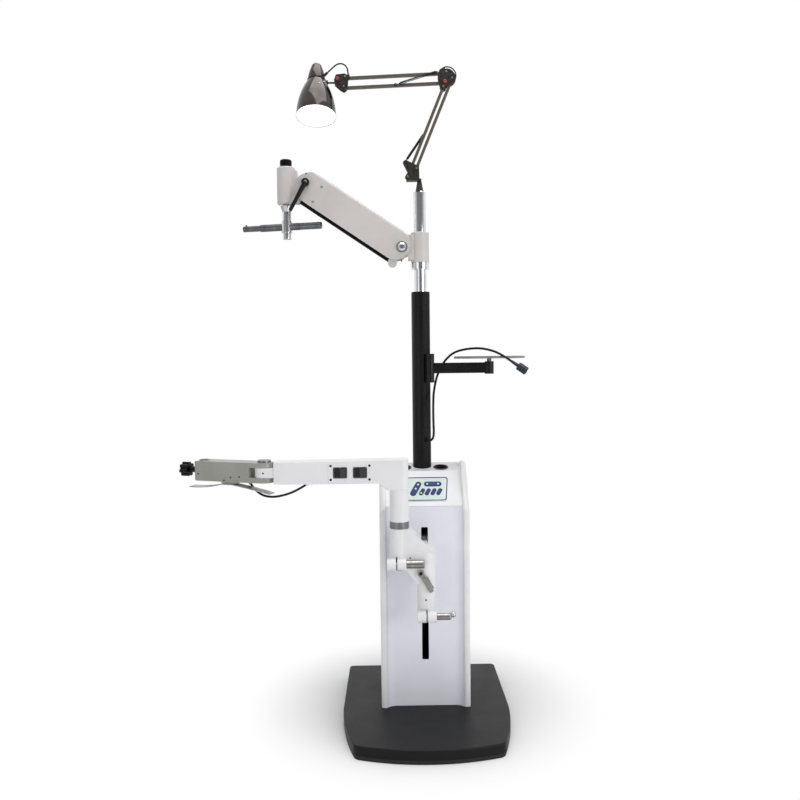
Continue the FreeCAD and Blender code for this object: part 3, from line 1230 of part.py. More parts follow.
def make_lift_arm():
    radius = s.cheek_radius
    low = -s.cheek_drop - radius
    high = -s.cheek_drop + radius
    first = -s.cheek_inset
    second = s.cheek_inset - s.lift_length
    half = s.cover_half
    side = fuse("lift_side", disc("lift_end_hub", radius, first, -s.cheek_drop, -half, half),
                disc("lift_end_head", radius, second, -s.cheek_drop, -half, half),
                box("lift_middle", second, first, -half, half, low, high))
    shell = lift_block("lift_shell", second - radius - s.overrun, first + radius + s.overrun, half,
                       low - s.overrun, high, s.cover_round)
    inside_half = half - s.cover_wall
    inside = lift_block("lift_inside", s.top_wall_start - s.lift_length, -s.top_wall_start, inside_half,
                        low - s.overrun, high - s.cover_wall, s.cover_round - s.cover_wall)
    ends = [box("lift_open_hub", -s.top_wall_start, first + radius + s.overrun, -inside_half, inside_half,
                low - s.overrun, high + s.overrun), box("lift_open_head", second - radius - s.overrun,
                                                        s.top_wall_start - s.lift_length, -inside_half,
                                                        inside_half, low - s.overrun, high + s.overrun)]
    hole = s.bolt_radius + s.pin_clear
    holes = [disc("lift_hole_hub", hole, 0, 0, -half - s.overrun, half + s.overrun),
             disc("lift_hole_head", hole, -s.lift_length, 0, -half - s.overrun, half + s.overrun)]
    node("lift_arm", place_on_lift(cut("lift_cut", common("lift_outer", side, shell), inside, *ends,
                                       *holes)))


make_lift_arm()


def make_link():
    half = s.link_half_thick
    length = s.lift_length
    drop = -s.link_offset
    body = box("link_bar", -length, 0, -half, half, drop - s.link_half, drop + s.link_half)
    eyes = [disc("link_eye" + label, s.link_eye, x, drop, -half, half)
            for label, x in (("_hub", 0), ("_head", -length))]
    holes = [disc("link_hole" + label, s.link_pin + s.pin_clear, x, drop, -half - s.overrun,
                  half + s.overrun) for label, x in (("_hub", 0), ("_head", -length))]
    node("lift_link", place_on_lift(cut("link_cut", fuse("link_solid", body, *eyes), *holes)))


make_link()


HEXAGON_SIDES = 6


def hexagon(name, radius, x, z, y0, y1):
    """A six-sided prism across Y."""
    item = doc.addObject("Part::Prism", name)
    item.Polygon = HEXAGON_SIDES
    set_size(item, "Circumradius", radius)
    set_size(item, "Height", y1 - y0)
    return move(item, x, y0, z, X_AXIS, -QUARTER_TURN)




def make_pivot_bolt():
    """Domed hexagon bolt through both cheeks with a nut behind."""
    face = -s.cover_half
    shank = disc("bolt_shank", s.bolt_radius, 0, 0, face, s.cover_half + s.nut_height)
    flange = disc("bolt_flange", s.bolt_flange_radius, 0, 0, face - s.bolt_flange, face)
    head = hexagon("bolt_hexagon", s.bolt_head, 0, 0, face - s.bolt_head_height, face)
    dome = doc.addObject("Part::Cone", "bolt_dome")
    set_size(dome, "Radius1", s.bolt_head - s.bolt_flange)
    set_size(dome, "Radius2", s.bolt_radius)
    set_size(dome, "Height", s.bolt_dome)
    move(dome, 0, face - s.bolt_head_height, 0, X_AXIS, QUARTER_TURN)
    nut = hexagon("bolt_nut", s.bolt_head, 0, 0, s.cover_half, s.cover_half + s.nut_height)
    node("pivot_bolt", place_on_lift(fuse("bolt_solid", shank, flange, head, dome, nut)))


make_pivot_bolt()


def make_clamp_lever():
    """Clamping lever on its threaded shank at the head end of the lift arm."""
    face = -s.cover_half - s.stand_off
    front = face - s.clamp_hub_height
    x, z = HEAD_PIVOT_X, HEAD_PIVOT_Z
    turn = s.clamp_lever_turn
    hub = disc("clamp_hub", s.clamp_hub_radius, x, z, front, face)
    shank = disc("clamp_shank", s.bolt_radius, x, z, face, s.cover_half + s.stand_off)
    nut = hexagon("clamp_nut", s.bolt_head, x, z, s.cover_half + s.stand_off, s.cover_half + s.stand_off
                  + s.nut_height)
    reach = s.clamp_lever_length
    stem = doc.addObject("Part::Cone", "clamp_stem")
    set_size(stem, "Radius1", s.clamp_lever_radius)
    set_size(stem, "Radius2", s.clamp_lever_tip)
    set_size(stem, "Height", reach)
    move(stem, x, (front + face) / 2 - s.clamp_lever_lift / 2, z, Y_AXIS, -(QUARTER_TURN + turn))
    tip = doc.addObject("Part::Sphere", "clamp_tip")
    set_size(tip, "Radius", s.clamp_lever_tip)
    move(tip, x - reach * sine(QUARTER_TURN - turn), (front + face) / 2 - s.clamp_lever_lift / 2,
         z - reach * cosine(QUARTER_TURN - turn))
    node("clamp_lever", fuse("clamp_solid", hub, shank, nut, stem, tip))


make_clamp_lever()

# Head at the end of the lift arm: knuckle, knob, spindle and cross bar


def make_head():
    x = -s.head_x
    points = [(0, s.head_low), (s.head_radius, s.head_low), (s.head_radius, s.head_high), (0, s.head_high)]
    barrel = turned("head_barrel", points, [(s.head_round, s.head_radius, s.head_low),
                                            (s.head_round, s.head_radius, s.head_high)])
    move(barrel, x, 0, 0)
    neck = box("head_neck", x, -s.head_neck_reach, -s.tongue_half, s.tongue_half, s.neck_low_z,
               s.neck_high_z)
    shaft_top = s.head_high - s.shaft_end
    bore = rod("head_bore", s.spindle_shaft + s.pole_clear, shaft_top - s.head_low + s.overrun, x, 0,
               s.head_low - s.overrun)
    stud_hole = rod("head_stud_hole", s.head_stud_radius + s.pin_clear, s.shaft_end + 2 * s.overrun, x, 0,
                    shaft_top - s.overrun)
    whole = fuse("head_solid", barrel, neck, *knuckle("head", HEAD_PIVOT_X, HEAD_PIVOT_Z))
    node("head_knuckle", finish_knuckle("head", whole, HEAD_PIVOT_X, HEAD_PIVOT_Z, bore, stud_hole))


make_head()


KNOB_FLUTES = 14


def make_head_knob():
    """Fluted knob on its stud."""
    low = s.head_high + s.head_knob_gap
    high = low + s.head_knob_height
    points = [(0, s.head_high - s.head_stud_length),
              (s.head_stud_radius, s.head_high - s.head_stud_length), (s.head_stud_radius, low),
              (s.knob_foot_radius, low), (s.head_knob_radius, low + s.knob_flare),
              (s.head_knob_radius, high), (0, high)]
    body = turned("head_knob_body", points, [(s.knob_round, s.head_knob_radius, high)])
    flutes = [rod("head_knob_flute_%d" % index, s.knob_flute_radius, high - low + 2 * s.overrun,
                  s.head_knob_radius * sine(index * FULL_TURN / KNOB_FLUTES),
                  s.head_knob_radius * cosine(index * FULL_TURN / KNOB_FLUTES), low - s.overrun)
              for index in range(KNOB_FLUTES)]
    node("head_knob", move(cut("head_knob_cut", body, *flutes), -s.head_x, 0, 0))


make_head_knob()

CROSS_Z = (s.block_top + s.block_low_z) / 2


def make_head_spindle():
    collar_top = s.head_low - s.stand_off
    points = [(0, s.block_nut_low), (s.block_nut_radius, s.block_nut_low),
              (s.block_nut_radius, s.block_ring_low), (s.block_ring_radius, s.block_ring_low),
              (s.block_ring_radius, s.block_low_z), (s.block_radius, s.block_low_z),
              (s.block_radius, s.block_top), (s.head_tube_radius, s.block_top),
              (s.head_tube_radius, s.head_collar_low), (s.head_collar_taper, s.head_collar_low),
              (s.head_collar_radius, collar_top - s.head_round), (s.head_collar_radius, collar_top),
              (s.spindle_shaft, collar_top), (s.spindle_shaft, s.head_high - s.shaft_end - s.overrun),
              (0, s.head_high - s.shaft_end - s.overrun)]
    points = [p for i, p in enumerate(points) if i == 0 or not (near(number_of(p[0]), points[i - 1][0])
                                                                and near(number_of(p[1]),
                                                                         points[i - 1][1]))]
    body = turned("spindle_body", points)
    hole = rod("cross_hole", s.rod_cross_radius + s.rod_cross_fit, 2 * s.block_radius + 2 * s.overrun,
               -s.block_radius - s.overrun, 0, CROSS_Z, "x")
    node("head_spindle", move(cut("spindle_cut", body, hole), -s.head_x, 0, 0, Z_AXIS, -s.rod_turn))
    start = -s.rod_cross_left
    thin = rod("cross_thin", s.rod_thin_radius, s.rod_thin_length, start - s.rod_thin_length, 0, 0, "x")
    seat = s.rod_cross_right - s.rod_seat_length
    thick = rod("cross_thick", s.rod_cross_radius, seat - start, start, 0, 0, "x")
    ground = rod("cross_ground", s.rod_seat_radius, s.rod_seat_length, seat, 0, 0, "x")
    pin = rod("cross_pin", s.rod_pin_radius, s.rod_thin_radius + s.rod_pin_rise, start - s.rod_thin_length
              + s.rod_pin_inset, 0, 0)
    node("t_bar", move(fuse("cross_solid", thin, thick, ground, pin), -s.head_x, 0, CROSS_Z, Z_AXIS,
                       -s.rod_turn))


make_head_spindle()

# Examination lamp: base, two pairs of parallel bars, elbow plates, head plates, shade and springs

LOWER_X = s.lower_pivot_x
LOWER_Z = s.lower_pivot_z
ELBOW_B_X = LOWER_X + s.lower_length * cosine(s.lower_turn)
ELBOW_B_Z = LOWER_Z + s.lower_length * sine(s.lower_turn)
UPPER_X = ELBOW_B_X + s.upper_x
UPPER_Z = ELBOW_B_Z + s.upper_z
TIP_X = UPPER_X - s.upper_length * cosine(s.upper_turn)
TIP_Z = UPPER_Z - s.upper_length * sine(s.upper_turn)
PLATE_OUT = s.lamp_plate_in + s.lamp_plate_thick


def twin_plates(name, points):
    """Two equal plates either side of the bars."""
    return [plate_on_xz(name + "_front", points, -PLATE_OUT, -s.lamp_plate_in),
            plate_on_xz(name + "_rear", points, s.lamp_plate_in, PLATE_OUT)]


def lamp_pins(name, places):
    """Pins through both plates."""
    return [disc("%s_pin_%d" % (name, index), s.lamp_pin, x, z, -PLATE_OUT - s.pin_proud,
                 PLATE_OUT + s.pin_proud) for index, (x, z) in enumerate(places)]


def lamp_bar(name, x, z, length, turn, layer, stud_reach=None):
    """A square bar with an eye at each end; a stud for the spring stands on one side."""
    half = s.bar_side / 2
    y0, y1 = layer - half, layer + half
    side = bar(name + "_bar", x, z, length, turn, half, y0, y1)
    ends = [(x, z), (x + length * cosine(turn), z + length * sine(turn))]
    eyes = [disc("%s_eye_%d" % (name, index), half, place[0], place[1], y0, y1)
            for index, place in enumerate(ends)]
    holes = [disc("%s_hole_%d" % (name, index), s.lamp_pin + s.pin_clear, place[0], place[1],
                  y0 - s.overrun, y1 + s.overrun) for index, place in enumerate(ends)]
    piece = cut(name + "_cut", fuse(name + "_solid", side, *eyes), *holes)
    if stud_reach is not None:
        middle = (x + stud_reach * cosine(turn), z + stud_reach * sine(turn))
        far = -layer
        low, high = (far - half, layer) if number_of(layer) > 0 else (layer, far + half)
        piece = fuse(name + "_with_stud", piece, disc(name + "_stud", s.lamp_pin, middle[0], middle[1],
                                                      low, high))
    return node(name, piece)


def make_lamp_base():
    pin_x, pin_z = LOWER_X + s.lower_spring_x, LOWER_Z + s.lower_spring_z
    plates = twin_plates("base_cheek", [(LOWER_X + s.cheek_1_x, LOWER_Z + s.cheek_1_z),
                                        (LOWER_X + s.cheek_2_x, LOWER_Z + s.cheek_2_z),
                                        (LOWER_X + s.cheek_3_x, LOWER_Z + s.cheek_3_z),
                                        (LOWER_X + s.cheek_4_x, LOWER_Z + s.cheek_4_z),
                                        (LOWER_X + s.cheek_5_x, s.spigot_high),
                                        (-s.foot_left, s.spigot_high),
                                        (-s.foot_left - s.cheek_6_x, LOWER_Z + s.cheek_6_z),
                                        (LOWER_X + s.cheek_7_x, LOWER_Z + s.cheek_7_z)])
    pins = lamp_pins("base_cheek",
                     [(LOWER_X, LOWER_Z), (LOWER_X + s.lower_pair_x, LOWER_Z + s.lower_pair_z)])
    pins.append(disc("base_spring_pin", s.lamp_pin, pin_x, pin_z, s.layer_gap, PLATE_OUT + s.pin_proud))
    bottom = s.pole_top + s.spigot_rest
    cone = rod("spigot_cone", s.spigot_low_radius, s.spigot_high - bottom, 0, 0, bottom, "z",
               s.spigot_high_radius)
    pin = rod("spigot_pin", s.spigot_pin, s.spigot_pin_depth, 0, 0, bottom - s.spigot_pin_depth)
    foot = box("lamp_foot", -s.foot_left, s.spigot_high_radius, -PLATE_OUT, PLATE_OUT,
               s.spigot_high - s.foot_thick, s.spigot_high)
    node("lamp_base", fuse("lamp_base_solid", cone, pin, foot, *plates, *pins))


make_lamp_base()
lamp_bar("lower_bar_front", LOWER_X, LOWER_Z, s.lower_length, s.lower_turn, -s.layer_offset)
lamp_bar("lower_bar_rear", LOWER_X + s.lower_pair_x, LOWER_Z + s.lower_pair_z, s.lower_length, s.lower_turn,
         -s.layer_offset, s.lower_spring_reach)


def make_lamp_elbow():
    x, z = ELBOW_B_X + s.elbow_x, ELBOW_B_Z + s.elbow_z
    pair_x, pair_z = ELBOW_B_X + s.lower_pair_x, ELBOW_B_Z + s.lower_pair_z
    pieces = []
    for label, y0, y1 in (("front", -PLATE_OUT, -s.lamp_plate_in), ("rear", s.lamp_plate_in, PLATE_OUT)):
        wide = disc("elbow_disc_" + label, s.elbow_disc, x, z, y0, y1)
        narrow = disc("elbow_tip_" + label, s.elbow_pair_round, pair_x, pair_z, y0, y1)
        web = plate_on_xz("elbow_web_" + label,
                          [(x - s.elbow_disc, z), (pair_x - s.elbow_pair_round, pair_z),
                           (pair_x + s.elbow_pair_round, pair_z), (x + s.elbow_disc, z)], y0, y1)
        pieces += [wide, narrow, web]
    pins = lamp_pins("elbow", [(ELBOW_B_X, ELBOW_B_Z), (pair_x, pair_z), (UPPER_X, UPPER_Z),
                               (UPPER_X + s.upper_pair_x, UPPER_Z + s.upper_pair_z)])
    pins.append(disc("elbow_spring_pin", s.lamp_pin, UPPER_X + s.upper_spring_x, UPPER_Z + s.upper_spring_z,
                     -PLATE_OUT - s.pin_proud, -s.layer_gap))
    inner = s.crescent_radius - s.crescent_half
    outer = s.crescent_radius + s.crescent_half
    y0, y1 = -PLATE_OUT - s.overrun, -s.lamp_plate_in + s.pin_clear
    ring = cut("crescent_ring", disc("crescent_outer", outer, x, z, y0, y1),
               disc("crescent_inner", inner, x, z, y0, y1))
    part = common("crescent", ring, box("crescent_window", x - s.crescent_left, x + outer, y0, y1, z,
                                        z + outer))
    node("lamp_elbow", cut("lamp_elbow_cut", fuse("lamp_elbow_solid", *pieces, *pins), part))


make_lamp_elbow()
lamp_bar("upper_bar_top", UPPER_X, UPPER_Z, s.upper_length, 2 * QUARTER_TURN + s.upper_turn, s.layer_offset)
lamp_bar("upper_bar_bottom", UPPER_X + s.upper_pair_x, UPPER_Z + s.upper_pair_z, s.upper_length,
         2 * QUARTER_TURN + s.upper_turn, s.layer_offset, s.upper_spring_reach)
STEM_Z = s.stem_z


def make_lamp_head():
    plates = twin_plates("head_cheek", [(TIP_X - s.tip_1_x, TIP_Z + s.tip_1_z),
                                        (TIP_X - s.tip_2_x, TIP_Z + s.tip_2_z),
                                        (TIP_X, TIP_Z + s.tip_3_z),
                                        (TIP_X + s.tip_4_x, TIP_Z + s.tip_4_z),
                                        (TIP_X + s.tip_5_x, TIP_Z - s.tip_5_z),
                                        (TIP_X - s.tip_6_x, TIP_Z - s.tip_6_z),
                                        (TIP_X - s.tip_7_x, TIP_Z - s.tip_7_z),
                                        (TIP_X - s.tip_8_x, TIP_Z - s.tip_8_z)])
    pins = lamp_pins("head_cheek", [(TIP_X, TIP_Z), (TIP_X + s.upper_pair_x, TIP_Z + s.upper_pair_z)])
    block = box("stem_block", s.stem_x, s.stem_x + s.stem_block, -PLATE_OUT, PLATE_OUT,
                STEM_Z - s.stem_block_half, STEM_Z + s.stem_block_half)
    stem = rod("lamp_stem", s.head_stem_radius, s.shade_gap + s.stem_in, s.stem_x, 0, STEM_Z, "-x")
    x = TIP_X + s.cord_block_x
    top = TIP_Z + s.cord_block_rise
    cord_block = box("cord_block", x - s.cord_block_half, x + s.cord_block_half, -s.lamp_plate_in
                     - s.pin_clear, -s.pin_clear, top - s.cord_block_height, top)
    node("lamp_head", fuse("lamp_head_solid", *plates, *pins, block, stem, cord_block))


make_lamp_head()

SHADE_X = s.stem_x - s.shade_gap - s.shade_neck
SWIVEL_HEIGHT = s.bell_height - s.swivel_drop


def place_shade(item):
    return move(item, SHADE_X, -SWIVEL_HEIGHT * sine(s.shade_turn),
                STEM_Z - SWIVEL_HEIGHT * cosine(s.shade_turn), X_AXIS, -s.shade_turn)


def slanted_rod(name, radius, length, x, y, z, turn, direction=Y_AXIS):
    """A cylinder from a point, turned from upright about an axis across it."""
    item = doc.addObject("Part::Cylinder", name)
    set_size(item, "Radius", radius)
    set_size(item, "Height", length)
    return move(item, x, y, z, direction, turn)


def make_shade():
    bell, total = s.bell_height, s.bell_height + s.neck_height
    wall = s.shade_wall
    seam, neck, crown = s.shade_seam, s.shade_neck, s.shade_crown
    shoulder = total - s.crown_round
    bead = s.bead_half
    points = [(s.shade_mouth - wall, 0), (s.shade_mouth, 0), (seam, bell - bead),
              (seam + s.bead_rise, bell - bead), (seam + s.bead_rise, bell + bead), (neck, bell + bead),
              (crown, shoulder), (s.crown_tip, total), (0, total), (0, shoulder),
              (crown - wall, shoulder), (neck - wall, bell)]
    shell = turned("shade_shell", points, (), {1: s.shade_bulge, 5: s.dome_bulge, 6: s.crown_bulge,
                                               10: -s.dome_bulge, 11: -s.shade_bulge})
    tilted = place_shade(shell)
    swivel = rod("shade_swivel", s.swivel_radius, s.swivel_length, s.stem_x - s.shade_gap
                 + s.swivel_length - wall, 0, STEM_Z, "-x")
    gland = slanted_rod("shade_gland", s.lamp_gland_radius, s.lamp_gland_length, SHADE_X + s.gland_x, 0,
                        STEM_Z + s.gland_z, s.gland_turn)
    hole = rod("shade_hole", s.head_stem_radius + s.pin_clear, s.shade_gap + s.stem_in, s.stem_x, 0,
               STEM_Z, "-x")
    node("lamp_shade", cut("shade_cut", fuse("shade_solid", tilted, swivel, gland), hole))
    socket = shoulder
    rise, shoulder = s.bulb_rise, s.bulb_shoulder
    bulb = turned("bulb_body", [(0, rise - s.bulb_radius * s.bulb_flat_share),
                                (s.bulb_radius * s.bulb_front_share,
                                 rise - s.bulb_radius * s.bulb_flat_share), (s.bulb_radius, rise),
                                (s.bulb_neck, shoulder), (s.bulb_neck, socket), (0, socket)], (),
                  {1: s.bulb_bow})
    node("lamp_bulb", place_shade(bulb))


make_shade()

# Springs and cords


def arc_points(start, tangent, end, end_tangent):
    """Two arcs that join two places and keep the given directions."""
    span = end - start
    both = tangent + end_tangent
    share = 2 * (1 - tangent.dot(end_tangent))
    along = span.dot(both)
    reach = (math.sqrt(along * along + share * span.dot(span)) - along) / share
    first = start + tangent * reach
    second = end - end_tangent * reach
    joint = (first + second) * HALF
    edges = []
    for a, control, b in ((start, first, joint), (joint, second, end)):
        middle = (a + b) * HALF
        lift = control - middle
        half_chord = (b - a).Length * HALF
        rise = half_chord * math.tan(math.asin(min(1, lift.Length / reach)) * HALF)
        edges.append(Part.Arc(a, middle + lift.normalize() * rise, b).toShape())
    return edges


LOWER_SPRING_TURNS = 12
UPPER_SPRING_TURNS = 14


def spring_wire(length, turns, radius, pitch, start_gap, lead):
    """Middle line of a spring: straight end, quarter turns of a helix, straight end."""
    coil = turns * pitch
    low = (length - coil) * HALF
    quarters = 4 * turns
    slope = pitch / (2 * math.pi * radius)
    places = []
    for index in range(quarters + 1):
        angle = index * math.pi * HALF
        place = FreeCAD.Vector(radius * math.cos(angle), radius * math.sin(angle),
                               low + coil * index / quarters)
        tangent = FreeCAD.Vector(-math.sin(angle), math.cos(angle), slope).normalize()
        places.append((place, tangent))
    up = FreeCAD.Vector(0, 0, 1)
    places.insert(0, (FreeCAD.Vector(0, 0, low - lead), up))
    places.append((FreeCAD.Vector(0, 0, length - low + lead), up))
    edges = [Part.LineSegment(FreeCAD.Vector(0, 0, start_gap), places[0][0]).toShape()]
    for (a, ta), (b, tb) in zip(places, places[1:]):
        edges += arc_points(a, ta, b, tb)
    edges.append(Part.LineSegment(places[-1][0], FreeCAD.Vector(0, 0, length - start_gap)).toShape())
    return Part.Wire(edges)


def least_gap(path, radius, wire):
    """Least room between a wire's turns, over points of its middle line at least half a turn apart."""
    spots = path.discretize(Distance=wire)
    apart = int(math.pi * radius / wire)
    return min((a - b).Length for i, a in enumerate(spots) for b in spots[i + apart:]) - 2 * wire


def make_spring(name, x0, z0, x1, z1, layer, turns):
    """An extension spring between two pins, with a ring round each pin."""
    dx, dz = number_of(x1 - x0), number_of(z1 - z0)
    length = math.hypot(dx, dz)
    eye, half = float(s.spring_eye), float(s.spring_eye_half)
    wire = float(s.spring_wire)
    start = (eye + float(s.lamp_pin) + float(s.spring_eye_clear)) * HALF
    path = spring_wire(length, turns, float(s.spring_radius), float(s.spring_pitch), start,
                       float(s.spring_lead))
    corners = [FreeCAD.Vector(wire * math.cos(math.radians(FULL_TURN * i / HEXAGON_SIDES)),
                              wire * math.sin(math.radians(FULL_TURN * i / HEXAGON_SIDES)), start)
               for i in range(HEXAGON_SIDES)]
    section = Part.makePolygon(corners + corners[:1])
    tube = path.makePipeShell([section], True, False)
    print("%-14s least gap to itself %.2f" % (name, least_gap(path, float(s.spring_radius), wire)))
    rings = []
    for height in (0, length):
        outside = Part.makeCylinder(eye, 2 * half, FreeCAD.Vector(0, -half, height), Y_AXIS)
        inside = Part.makeCylinder(float(s.lamp_pin + s.spring_eye_clear), 2 * half,
                                   FreeCAD.Vector(0, -half, height), Y_AXIS)
        rings.append(outside.cut(inside))
    item = solid(name, rings[0].fuse([tube, rings[1]]))
    turn = math.degrees(math.atan2(dx, dz))
    item.Placement = FreeCAD.Placement(point(x0, layer, z0), FreeCAD.Rotation(Y_AXIS, turn))
    for path_name, value in (("x", x0), ("y", layer), ("z", z0)):
        bind(item, "Placement.Base." + path_name, value)
    return node(name, item)


make_spring("lower_spring", LOWER_X + s.lower_spring_x, LOWER_Z + s.lower_spring_z,
            LOWER_X + s.lower_pair_x + s.lower_spring_reach * cosine(s.lower_turn),
            LOWER_Z + s.lower_pair_z + s.lower_spring_reach * sine(s.lower_turn), s.layer_offset,
            LOWER_SPRING_TURNS)
make_spring("upper_spring", UPPER_X + s.upper_spring_x, UPPER_Z + s.upper_spring_z,
            UPPER_X + s.upper_pair_x - s.upper_spring_reach * cosine(s.upper_turn),
            UPPER_Z + s.upper_pair_z - s.upper_spring_reach * sine(s.upper_turn), -s.layer_offset,
            UPPER_SPRING_TURNS)

# Cords

CORNER_SHARE = 0.45


def cord(name, places, radius):
    """A round cord along straight runs joined by arcs that touch both runs."""
    spots = [point(*place) for place in places]
    edges = []
    last = spots[0]
    radii = []
    for before, corner, after in zip(spots, spots[1:], spots[2:]):
        into, out = (corner - before), (after - corner)
        length = CORNER_SHARE * min(into.Length, out.Length)
        into.normalize()
        out.normalize()
        half_turn = into.getAngle(out) * HALF
        bend = length / math.tan(half_turn)
        radii.append(bend)
        start, end = corner - into * length, corner + out * length
        inward = (end + start) * HALF - corner
        middle = corner + inward.normalize() * (bend / math.cos(half_turn) - bend)
        edges.append(Part.LineSegment(last, start).toShape())
        edges.append(Part.Arc(start, middle, end).toShape())
        last = end
    edges.append(Part.LineSegment(last, spots[-1]).toShape())
    path = Part.Wire(edges)
    first = (spots[1] - spots[0]).normalize()
    section = Part.Wire(Part.makeCircle(float(radius), spots[0], first))
    tube = path.makePipeShell([section], True, False)
    print("%-14s length %.0f least bend %.1f volume share %.4f" % (
        name, path.Length, min(radii), tube.Volume / (path.Length * math.pi * float(radius) ** 2)))
    return node(name, solid(name, tube))


def along_flat(distance, height):
    x, y = beside_mast(distance)
    return (x, y, height)


# Routes in the room's frame; the lead leaves the mast along its flat's normal and ends in its plug
LEAD_ROUTE = [along_flat(s.flat_distance + s.grommet_length, s.lead_height),
              along_flat(s.flat_distance + s.grommet_length + s.lead_step, s.lead_height),
              (30.6, -38.7, 831), (33.4, -46.1, 838.6), (34.5, -52.3, 849), (34.4, -56, 863),
              (33.6, -55.8, 882), (33.8, -47, 909), (34.8, -31.5, 939), (36.6, -17, 970),
              (43, -7, 1003), (50, -4, 1028), (61, -5, 1053), (77, -14, 1077), (101, -30, 1098),
              (138, -56, 1107), (175, -84, 1108.5), (208, -116, 1100), (232, -144, 1087),
              (258, -155, 1068)]
CORD_X = TIP_X + s.cord_block_x
CORD_Z = TIP_Z + s.cord_block_rise
LAMP_CORD_ROUTE = [(CORD_X, -s.cord_side, CORD_Z), (CORD_X, -s.cord_side, CORD_Z + s.cord_rise),
                   (-225, -3, 1972), (-244, -1.5, 1974), (-262, 0, 1960), (-276, 0, 1947)]
cord("device_lead", LEAD_ROUTE, s.lead_radius)
cord("arm_cable", ARM_CABLE, s.arm_cable_radius)
cord("lamp_cord", LAMP_CORD_ROUTE, s.lamp_cord_radius)


def make_connector():
    """Plug on the lead's end: a tapered boot and a squared body with an open socket."""
    before, start = [point(*place) for place in LEAD_ROUTE[-2:]]
    turn = FreeCAD.Rotation(Z_AXIS, start - before)
    boot = rod("boot", s.lead_radius + s.boot_start, s.boot_length, 0, 0, 0, "z", s.boot_radius)
    half, other = s.plug_half_width, s.plug_half_height
    body = new_body("plug_body")
    corners = [(half, other), (-half, other), (-half, -other), (half, -other)]
    last = pad(body, "plug_pad", outline(body, "plug_section", "XY_Plane", corners), s.plug_length)
    last = soften(body, "plug_corners", last, s.plug_round, lambda p: near(abs(p.x), half)
                  and near(abs(p.y), other))
    soften(body, "plug_shoulder", last, s.plug_taper, lambda p: near(p.z, 0), "Chamfer")
    move(body, 0, 0, s.boot_length)
    socket = box("plug_socket", -half + s.plug_round, half - s.plug_round, -other + s.plug_round,
                 other - s.plug_round, s.boot_length + s.plug_length - s.plug_socket,
                 s.boot_length + s.plug_length + s.overrun)
    item = cut("connector_cut", fuse("connector_solid", boot, body), socket)
    item.Placement = FreeCAD.Placement(start, turn)
    return node("lead_connector", item)


make_connector()

# Checks every object and writes each piece to its own file

def finish():
    doc.recompute()
    for item in doc.Objects:
        if "Invalid" in item.State or "Error" in item.State:
            raise RuntimeError("%s failed: %s" % (item.Name, item.State))
    os.makedirs("parts", exist_ok=True)
    for name, item in NODES:
        shape = item.Shape
        if shape.isNull() or not shape.isValid() or not shape.Solids:
            raise RuntimeError("%s has no sound shape" % name)
        shape.exportStep("parts/%s.step" % name)
        box_of = shape.BoundBox
        print("%-20s solids %d volume %.0f x %.1f..%.1f y %.1f..%.1f z %.1f..%.1f" % (
            name, len(shape.Solids), shape.Volume, box_of.XMin, box_of.XMax, box_of.YMin, box_of.YMax,
            box_of.ZMin, box_of.ZMax))


finish()
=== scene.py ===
import math
from collections import namedtuple

import bmesh
import bpy
import numpy as np
from mathutils import Matrix, Vector


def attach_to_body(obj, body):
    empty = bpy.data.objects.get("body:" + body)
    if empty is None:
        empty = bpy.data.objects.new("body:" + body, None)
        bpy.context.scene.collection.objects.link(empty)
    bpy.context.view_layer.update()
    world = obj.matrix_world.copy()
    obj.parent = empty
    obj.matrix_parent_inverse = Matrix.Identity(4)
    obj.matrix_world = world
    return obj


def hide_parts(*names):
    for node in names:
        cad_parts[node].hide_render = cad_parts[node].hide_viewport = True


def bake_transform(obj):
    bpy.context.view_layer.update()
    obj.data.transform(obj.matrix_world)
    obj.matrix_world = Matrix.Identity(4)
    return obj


# Instrument stand for an eye examination room: a white cabinet on a black base, a mast, two arms and a lamp.
# Sizes are in millimetres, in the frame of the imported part, and become metres where a mesh is made.

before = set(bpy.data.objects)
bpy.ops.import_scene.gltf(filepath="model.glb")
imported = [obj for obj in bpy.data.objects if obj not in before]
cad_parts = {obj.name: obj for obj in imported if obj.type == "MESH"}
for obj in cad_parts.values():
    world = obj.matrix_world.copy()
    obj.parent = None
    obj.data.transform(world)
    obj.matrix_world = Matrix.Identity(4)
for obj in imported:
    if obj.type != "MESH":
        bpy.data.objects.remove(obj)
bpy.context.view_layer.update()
MM = 0.001

# CAMERA AND ROOM
# A camera in front of the stand at breast height, and a plain white floor that fades into a white room. A wide
# soft lamp hangs overhead, two weaker ones stand at the front left and the right, and the room lights evenly.

EYE = (-0.0941, -2.48, 1.0893)
PAN, PITCH, ROLL = -0.632, -3.2, 0.639
LENS = SENSOR = 36
FARTHEST = 50


def turned(degrees, axis):
    """A turn of so many degrees about one axis, as a 4 x 4 matrix."""
    return Matrix.Rotation(math.radians(degrees), 4, axis)


camera = bpy.data.objects.new("camera", bpy.data.cameras.new("camera"))
camera.data.lens = LENS
camera.data.sensor_width = SENSOR
camera.data.clip_end = FARTHEST
camera.matrix_world = (Matrix.Translation(EYE) @ turned(PAN, "Z") @ turned(PITCH, "X") @ turned(ROLL, "Y")
                       @ turned(90, "X"))
bpy.context.scene.collection.objects.link(camera)
bpy.context.scene.camera = camera
bpy.context.scene.view_settings.view_transform = "Standard"


def linear(hex_colour, alpha=1.0):
    """sRGB hex to linear light: c / 12.92 up to 0.04045, and ((c + 0.055) / 1.055) to the power 2.4 above."""
    parts = [int(hex_colour[i:i + 2], 16) / 255 for i in (1, 3, 5)]
    return tuple(c / 12.92 if c <= 0.04045 else ((c + 0.055) / 1.055) ** 2.4 for c in parts) + (alpha,)


